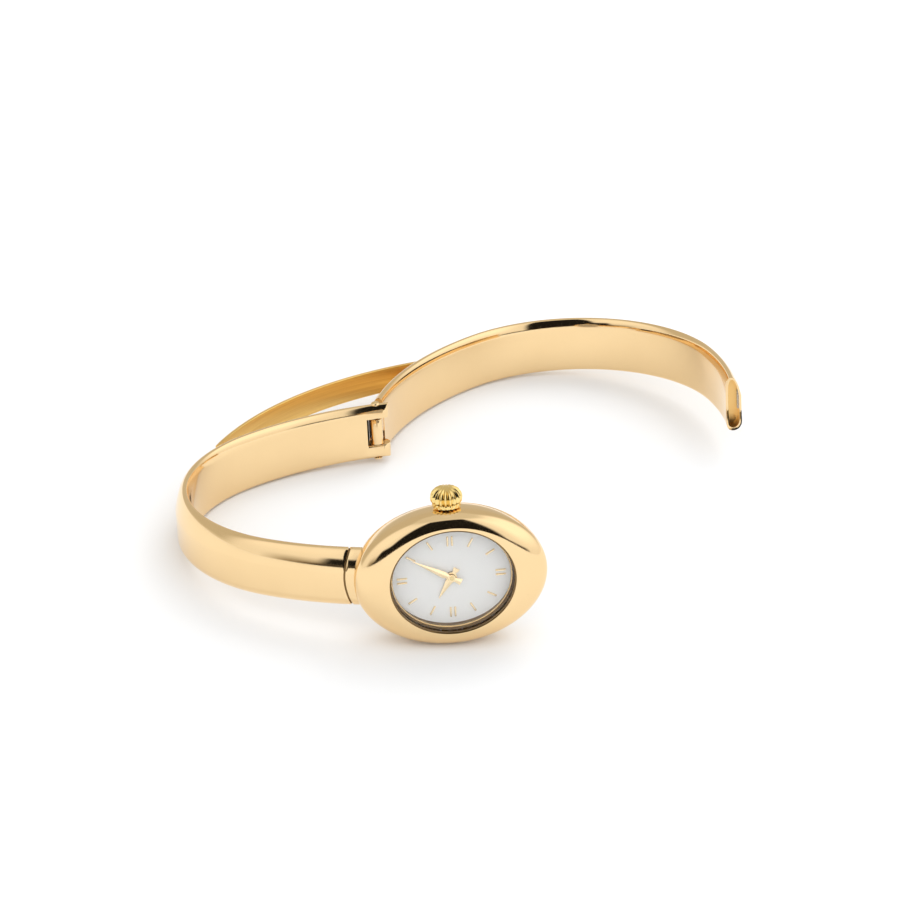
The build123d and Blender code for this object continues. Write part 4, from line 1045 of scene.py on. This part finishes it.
class WATCH_OT_crown(Operator):
    """Draws the fluted crown ring by ring and presses its lobes in"""

    bl_idname = "watch.crown"
    bl_label = "Crown"

    def execute(self, context):
        crown = sizes("crown")
        middle, half, collar, low, high, bore = (
            crown.middle, crown.half_height, crown.collar_radius, crown.collar_low, crown.collar_high,
            crown.bore_radius,
        )
        lower_edge, upper_edge, rib_share, belt_share, fullness, fade = 0.05, 0.04, 0.25, 0.9, 0.72, 1.6
        rings = [  # Height, radius and how deep the flutes are there
            (low, bore, 0), (low, collar - lower_edge, 0), (low + lower_edge, collar, rib_share),
            (high - upper_edge, collar, rib_share), (high, collar - upper_edge, 0),
        ]
        belt = asin((middle - high) / half * belt_share)
        for step in range(CROWN_STEPS):
            angle = -belt + (pi / 2 + belt) * step / CROWN_STEPS
            swell = cos(angle) ** fullness
            rings.append((middle + half * sin(angle), crown.radius * swell, min(1.0, fade * swell)))
        vertices = PER_FLUTE * crown.flutes
        piece = add("crown_ball", "circle", radius=1, vertices=vertices, location=(0, 0, low))
        settle(piece)
        edit()
        bpy.ops.transform.resize(value=(bore, bore, 1), center_override=(0, 0, low))
        for last, ring in zip(rings, rings[1:]):
            extrude_ring((0, 0, ring[0] - last[0]), (ring[1] / last[1], ring[1] / last[1], 1), (0, 0, ring[0]))
        extrude(0, 0, middle + half - rings[-1][0])
        bpy.ops.mesh.merge(type="CENTER")

        def steps_from_crest(point):
            part = atan2(point.y, point.x) / (2 * pi) * crown.flutes % 1
            return min(part, 1 - part) * PER_FLUTE

        for height, reach, deep in rings:
            for phase in range(1, PER_FLUTE // 2 + 1):
                dip = crown.flute_depth * deep * (1 - cos(2 * pi * phase / PER_FLUTE)) / 2
                if dip == 0:
                    continue
                select(piece, lambda v: (
                    abs(v.co.z - height) < NEAR and abs(steps_from_crest(v.co) - phase) < 0.1
                    and hypot(v.co.x, v.co.y) > reach - NEAR
                ))
                factor = 1 - dip / reach
                bpy.ops.transform.resize(value=(factor, factor, 1), center_override=(0, 0, height))
        select_rim(piece)
        extrude(0, 0, crown.bore_top - low)
        extrude_ring((0, 0, 0), (crown.stem_radius / bore, crown.stem_radius / bore, 1), (0, 0, crown.bore_top))
        bpy.ops.mesh.edge_face_add()
        leave()
        spot = Matrix.Translation((0, -sizes("band").half_depth - crown.depth, 0))
        hand_over(piece, "crown_unit", "gold_polished", "Crown gold plating", "crown", spot=spot, smooth=50)
        return {"FINISHED"}


class WATCH_OT_dial(Operator):
    """Finishes the dial, the ring round it and the crystal"""

    bl_idname = "watch.dial"
    bl_label = "Dial and crystal"

    def execute(self, context):
        dress(finish("Dial lacquer"), "dial")
        # The ring round the dial is near-black bronze: painted shade on the opening's inner wall
        dress(finish("Painted shade bronze"), "dial_ring")
        dress(clear_crystal(), "crystal")
        dress(finish("Crystal seal"), "crystal_seal")
        return {"FINISHED"}


class WATCH_OT_fittings(Operator):
    """Finishes the guard's bracket and pin, the link, the cover and the seals"""

    bl_idname = "watch.fittings"
    bl_label = "Fittings"

    def execute(self, context):
        dress(finish("Polished gold plating"), "guard_bracket", "guard_pin", "crown_tube")
        # The link is near-black bronze: painted shade where it shows in the gap by the case
        dress(finish("Painted shade bronze"), "band_link")
        dress(finish("Brushed steel"), "case_cover")
        dress(finish("Polished steel"), "link_screws")
        dress(finish("Seal rubber"), "cover_seal", "crown_seal")
        return {"FINISHED"}


class WATCH_OT_movement(Operator):
    """Finishes the movement's pieces inside the case"""

    bl_idname = "watch.movement"
    bl_label = "Movement"

    def execute(self, context):
        for name, nodes in {
            "Movement plastic": "movement_ring",
            "Plate brass": "main_plate train_bridge",
            "Wheel brass": "centre_wheel cannon_pinion hour_wheel minute_wheel drive_wheel",
            "Movement steel": "bridge_screws strap_screws stem clutch_wheel stem_lever battery_strap",
            "Cell steel": "battery quartz_can",
            "Soft iron": "stator coil_core",
            "Rotor magnet": "rotor",
            "Copper winding": "coil",
            "Board lacquer": "circuit_board",
        }.items():
            dress(finish(name), *nodes.split())
        return {"FINISHED"}


# ---- Studio ----

# Where the photograph was taken from: angles in radians about the dial, distance in millimetres
CAMERA_TURN, CAMERA_RISE, CAMERA_ROLL = -0.108888743, 0.404102025, -0.050400028
CAMERA_DISTANCE, PIXELS_PER_MM = 491.766606, 8.40914987
PICTURE_CENTRE, PICTURE_SIZE = (426.559246, 496.796069), 900
WHITE, FILL_WHITE = (1, 1, 1, 1), (1.1, 1.11, 1.12, 1)
# What the polished gold mirrors: left, right, low, high, two softnesses (degrees from the camera's side) and colour
CARDS = [
    (-220, -82, 0, 70, 10, 5, (0.63, 0.60, 0.53)), (128, 220, 0, 70, 18, 5, (0.63, 0.60, 0.53)),
    (-74, -30, 18, 52, 10, 14, (1.12, 1.12, 1.12)), (50, 125, 14, 60, 14, 14, (1.35, 1.35, 1.35)),
    (-200, 200, 66, 90, 1, 6, (0.75, 0.74, 0.70)), (-50, -14, -12, 6, 8, 8, (0.25, 0.2, 0.12)),
    (-20, 34, -5, 64, 3, 3, (0.01, 0.01, 0.01)), (-38, 56, -5, 3, 6, 2, (0.03, 0.02, 0.01)),
    (-32, -16, 2, 15, 3, 3, (0.01, 0.01, 0.01)),
]
LAMPS = {  # Place and size in metres, and power
    "Key light": ((0.28, 0.35, 0.5), 0.4, 0.9), "Fill light": ((0.05, -0.5, 0.35), 0.8, 0.95),
}


def between(tree, value, low, high, soft):
    """One between two angles and nothing outside them, with soft edges."""
    edges = [
        node(tree, "MapRange", {"Value": value, "From Min": start, "From Max": end}, interpolation_type="SMOOTHSTEP")
        for start, end in ((low - soft, low + soft), (high + soft, high - soft))
    ]
    return sum_of(tree, "MULTIPLY", edges[0].outputs[0], edges[1].outputs[0])


def studio_world(front):
    """White surroundings, with what the polished gold mirrors: side boxes, a duller back and a dark front."""
    world = bpy.data.worlds.new("Studio")
    world.use_nodes = True
    tree = world.node_tree
    looking = node(tree, "TexCoord").outputs["Generated"]
    turned = node(tree, "Mapping", {"Vector": looking, "Rotation": (0, 0, -front)}).outputs[0]
    parts = node(tree, "SeparateXYZ", {"Vector": turned}).outputs
    across, rise = (
        sum_of(tree, "MULTIPLY", angle, 180 / pi)
        for angle in (sum_of(tree, "ARCTAN2", parts["Y"], parts["X"]), sum_of(tree, "ARCSINE", parts["Z"], 0.0))
    )
    colour = WHITE
    for left, right, low, high, soft_side, soft_edge, card in CARDS:
        wide, tall = between(tree, across, left, right, soft_side), between(tree, rise, low, high, soft_edge)
        colour = mixed(tree, sum_of(tree, "MULTIPLY", wide, tall), colour, (*card, 1))
    path = node(tree, "LightPath").outputs
    ambient = mixed(tree, path["Is Glossy Ray"], FILL_WHITE, colour)
    seen = sum_of(tree, "MAXIMUM", path["Is Camera Ray"], path["Is Transmission Ray"])
    background = tree.nodes["Background"]
    tree.links.new(mixed(tree, seen, ambient, WHITE), background.inputs["Color"])
    background.inputs["Strength"].default_value = 1.0
    return world


def link_new(name, data):
    made = bpy.data.objects.new(name, data)
    bpy.context.scene.collection.objects.link(made)
    return made


def place_camera(scene):
    """Sets the camera where the photograph was taken from, and gives the way to it from the dial."""
    flat, roll = cos(CAMERA_RISE), (cos(CAMERA_ROLL), sin(CAMERA_ROLL))
    back = Vector((sin(CAMERA_TURN) * flat, -cos(CAMERA_TURN) * flat, sin(CAMERA_RISE)))
    right = direction(CAMERA_TURN)
    up = right.cross(-back)
    right, up = roll[0] * right + roll[1] * up, roll[0] * up - roll[1] * right
    half_picture = PICTURE_SIZE / 2
    spot = (
        back * CAMERA_DISTANCE - right * (PICTURE_CENTRE[0] - half_picture) / PIXELS_PER_MM
        - up * (half_picture - PICTURE_CENTRE[1]) / PIXELS_PER_MM
    )
    lens = bpy.data.cameras.new("Camera")
    lens.lens = lens.sensor_width * PIXELS_PER_MM * CAMERA_DISTANCE / PICTURE_SIZE
    lens.clip_start, lens.clip_end = 0.01, 10
    place = ring_place()
    turned = place.to_3x3() @ Matrix.Scale(MM, 3)
    scene.camera = link_new("Camera", lens)
    facing = (turned @ Matrix((right, up, back)).transposed()).to_4x4()
    scene.camera.matrix_world = Matrix.Translation(place @ spot) @ facing
    return turned @ back


class WATCH_OT_stage(Operator):
    """Lays the floor and sets the light and the camera"""

    bl_idname = "watch.stage"
    bl_label = "Stage"

    def execute(self, context):
        floor = add("floor", "plane", size=4)
        floor.data.materials.append(finish("White floor"))
        to_camera = place_camera(context.scene)
        context.scene.world = studio_world(atan2(to_camera.y, to_camera.x))
        for name, (spot, size, power) in LAMPS.items():
            light = bpy.data.lights.new(name, "AREA")
            light.size, light.energy = size, power
            lamp = link_new(name, light)
            lamp.location = spot
            lamp.rotation_euler = (-Vector(spot)).to_track_quat("-Z", "Y").to_euler()
            lamp.visible_glossy = False
        context.scene.view_settings.view_transform = "Standard"
        return {"FINISHED"}


# ---- Panel and registration ----

GROUPS = {
    "watch_band": BandSizes, "watch_hinge": HingeSizes, "watch_guard": GuardSizes, "watch_case": CaseSizes,
    "watch_dial": DialSizes, "watch_crown": CrownSizes, "watch_finishes": Finishes,
}
OPERATORS = [
    WATCH_OT_fixed_half, WATCH_OT_hinge_leaf, WATCH_OT_swing_half, WATCH_OT_catch, WATCH_OT_hinge_pin,
    WATCH_OT_guard, WATCH_OT_case, WATCH_OT_dial, WATCH_OT_hour_bars, WATCH_OT_hands, WATCH_OT_crown,
    WATCH_OT_fittings, WATCH_OT_movement, WATCH_OT_stage,
]


class VIEW3D_PT_bangle_watch(Panel):
    """Lists the steps and the sizes"""

    bl_idname = "VIEW3D_PT_bangle_watch"
    bl_label = "Bangle watch"
    bl_space_type = "VIEW_3D"
    bl_region_type = "UI"
    bl_category = "Bangle watch"

    def draw(self, context):
        for operator in OPERATORS:
            self.layout.operator(operator.bl_idname)
        for name, group in GROUPS.items():
            box = self.layout.box()
            box.label(text=name.removeprefix("watch_").title())
            for size in group.__annotations__:
                box.prop(getattr(context.scene, name), size)


CLASSES = [*GROUPS.values(), *OPERATORS, VIEW3D_PT_bangle_watch]


def register():
    for item in CLASSES:
        bpy.utils.register_class(item)
    for name, group in GROUPS.items():
        setattr(bpy.types.Scene, name, PointerProperty(type=group))


def unregister():
    for name in GROUPS:
        delattr(bpy.types.Scene, name)
    for item in reversed(CLASSES):
        bpy.utils.unregister_class(item)


def main():
    register()
    for operator in OPERATORS:
        group, name = operator.bl_idname.split(".")
        getattr(getattr(bpy.ops, group), name)()


if __name__ == "__main__":
    main()
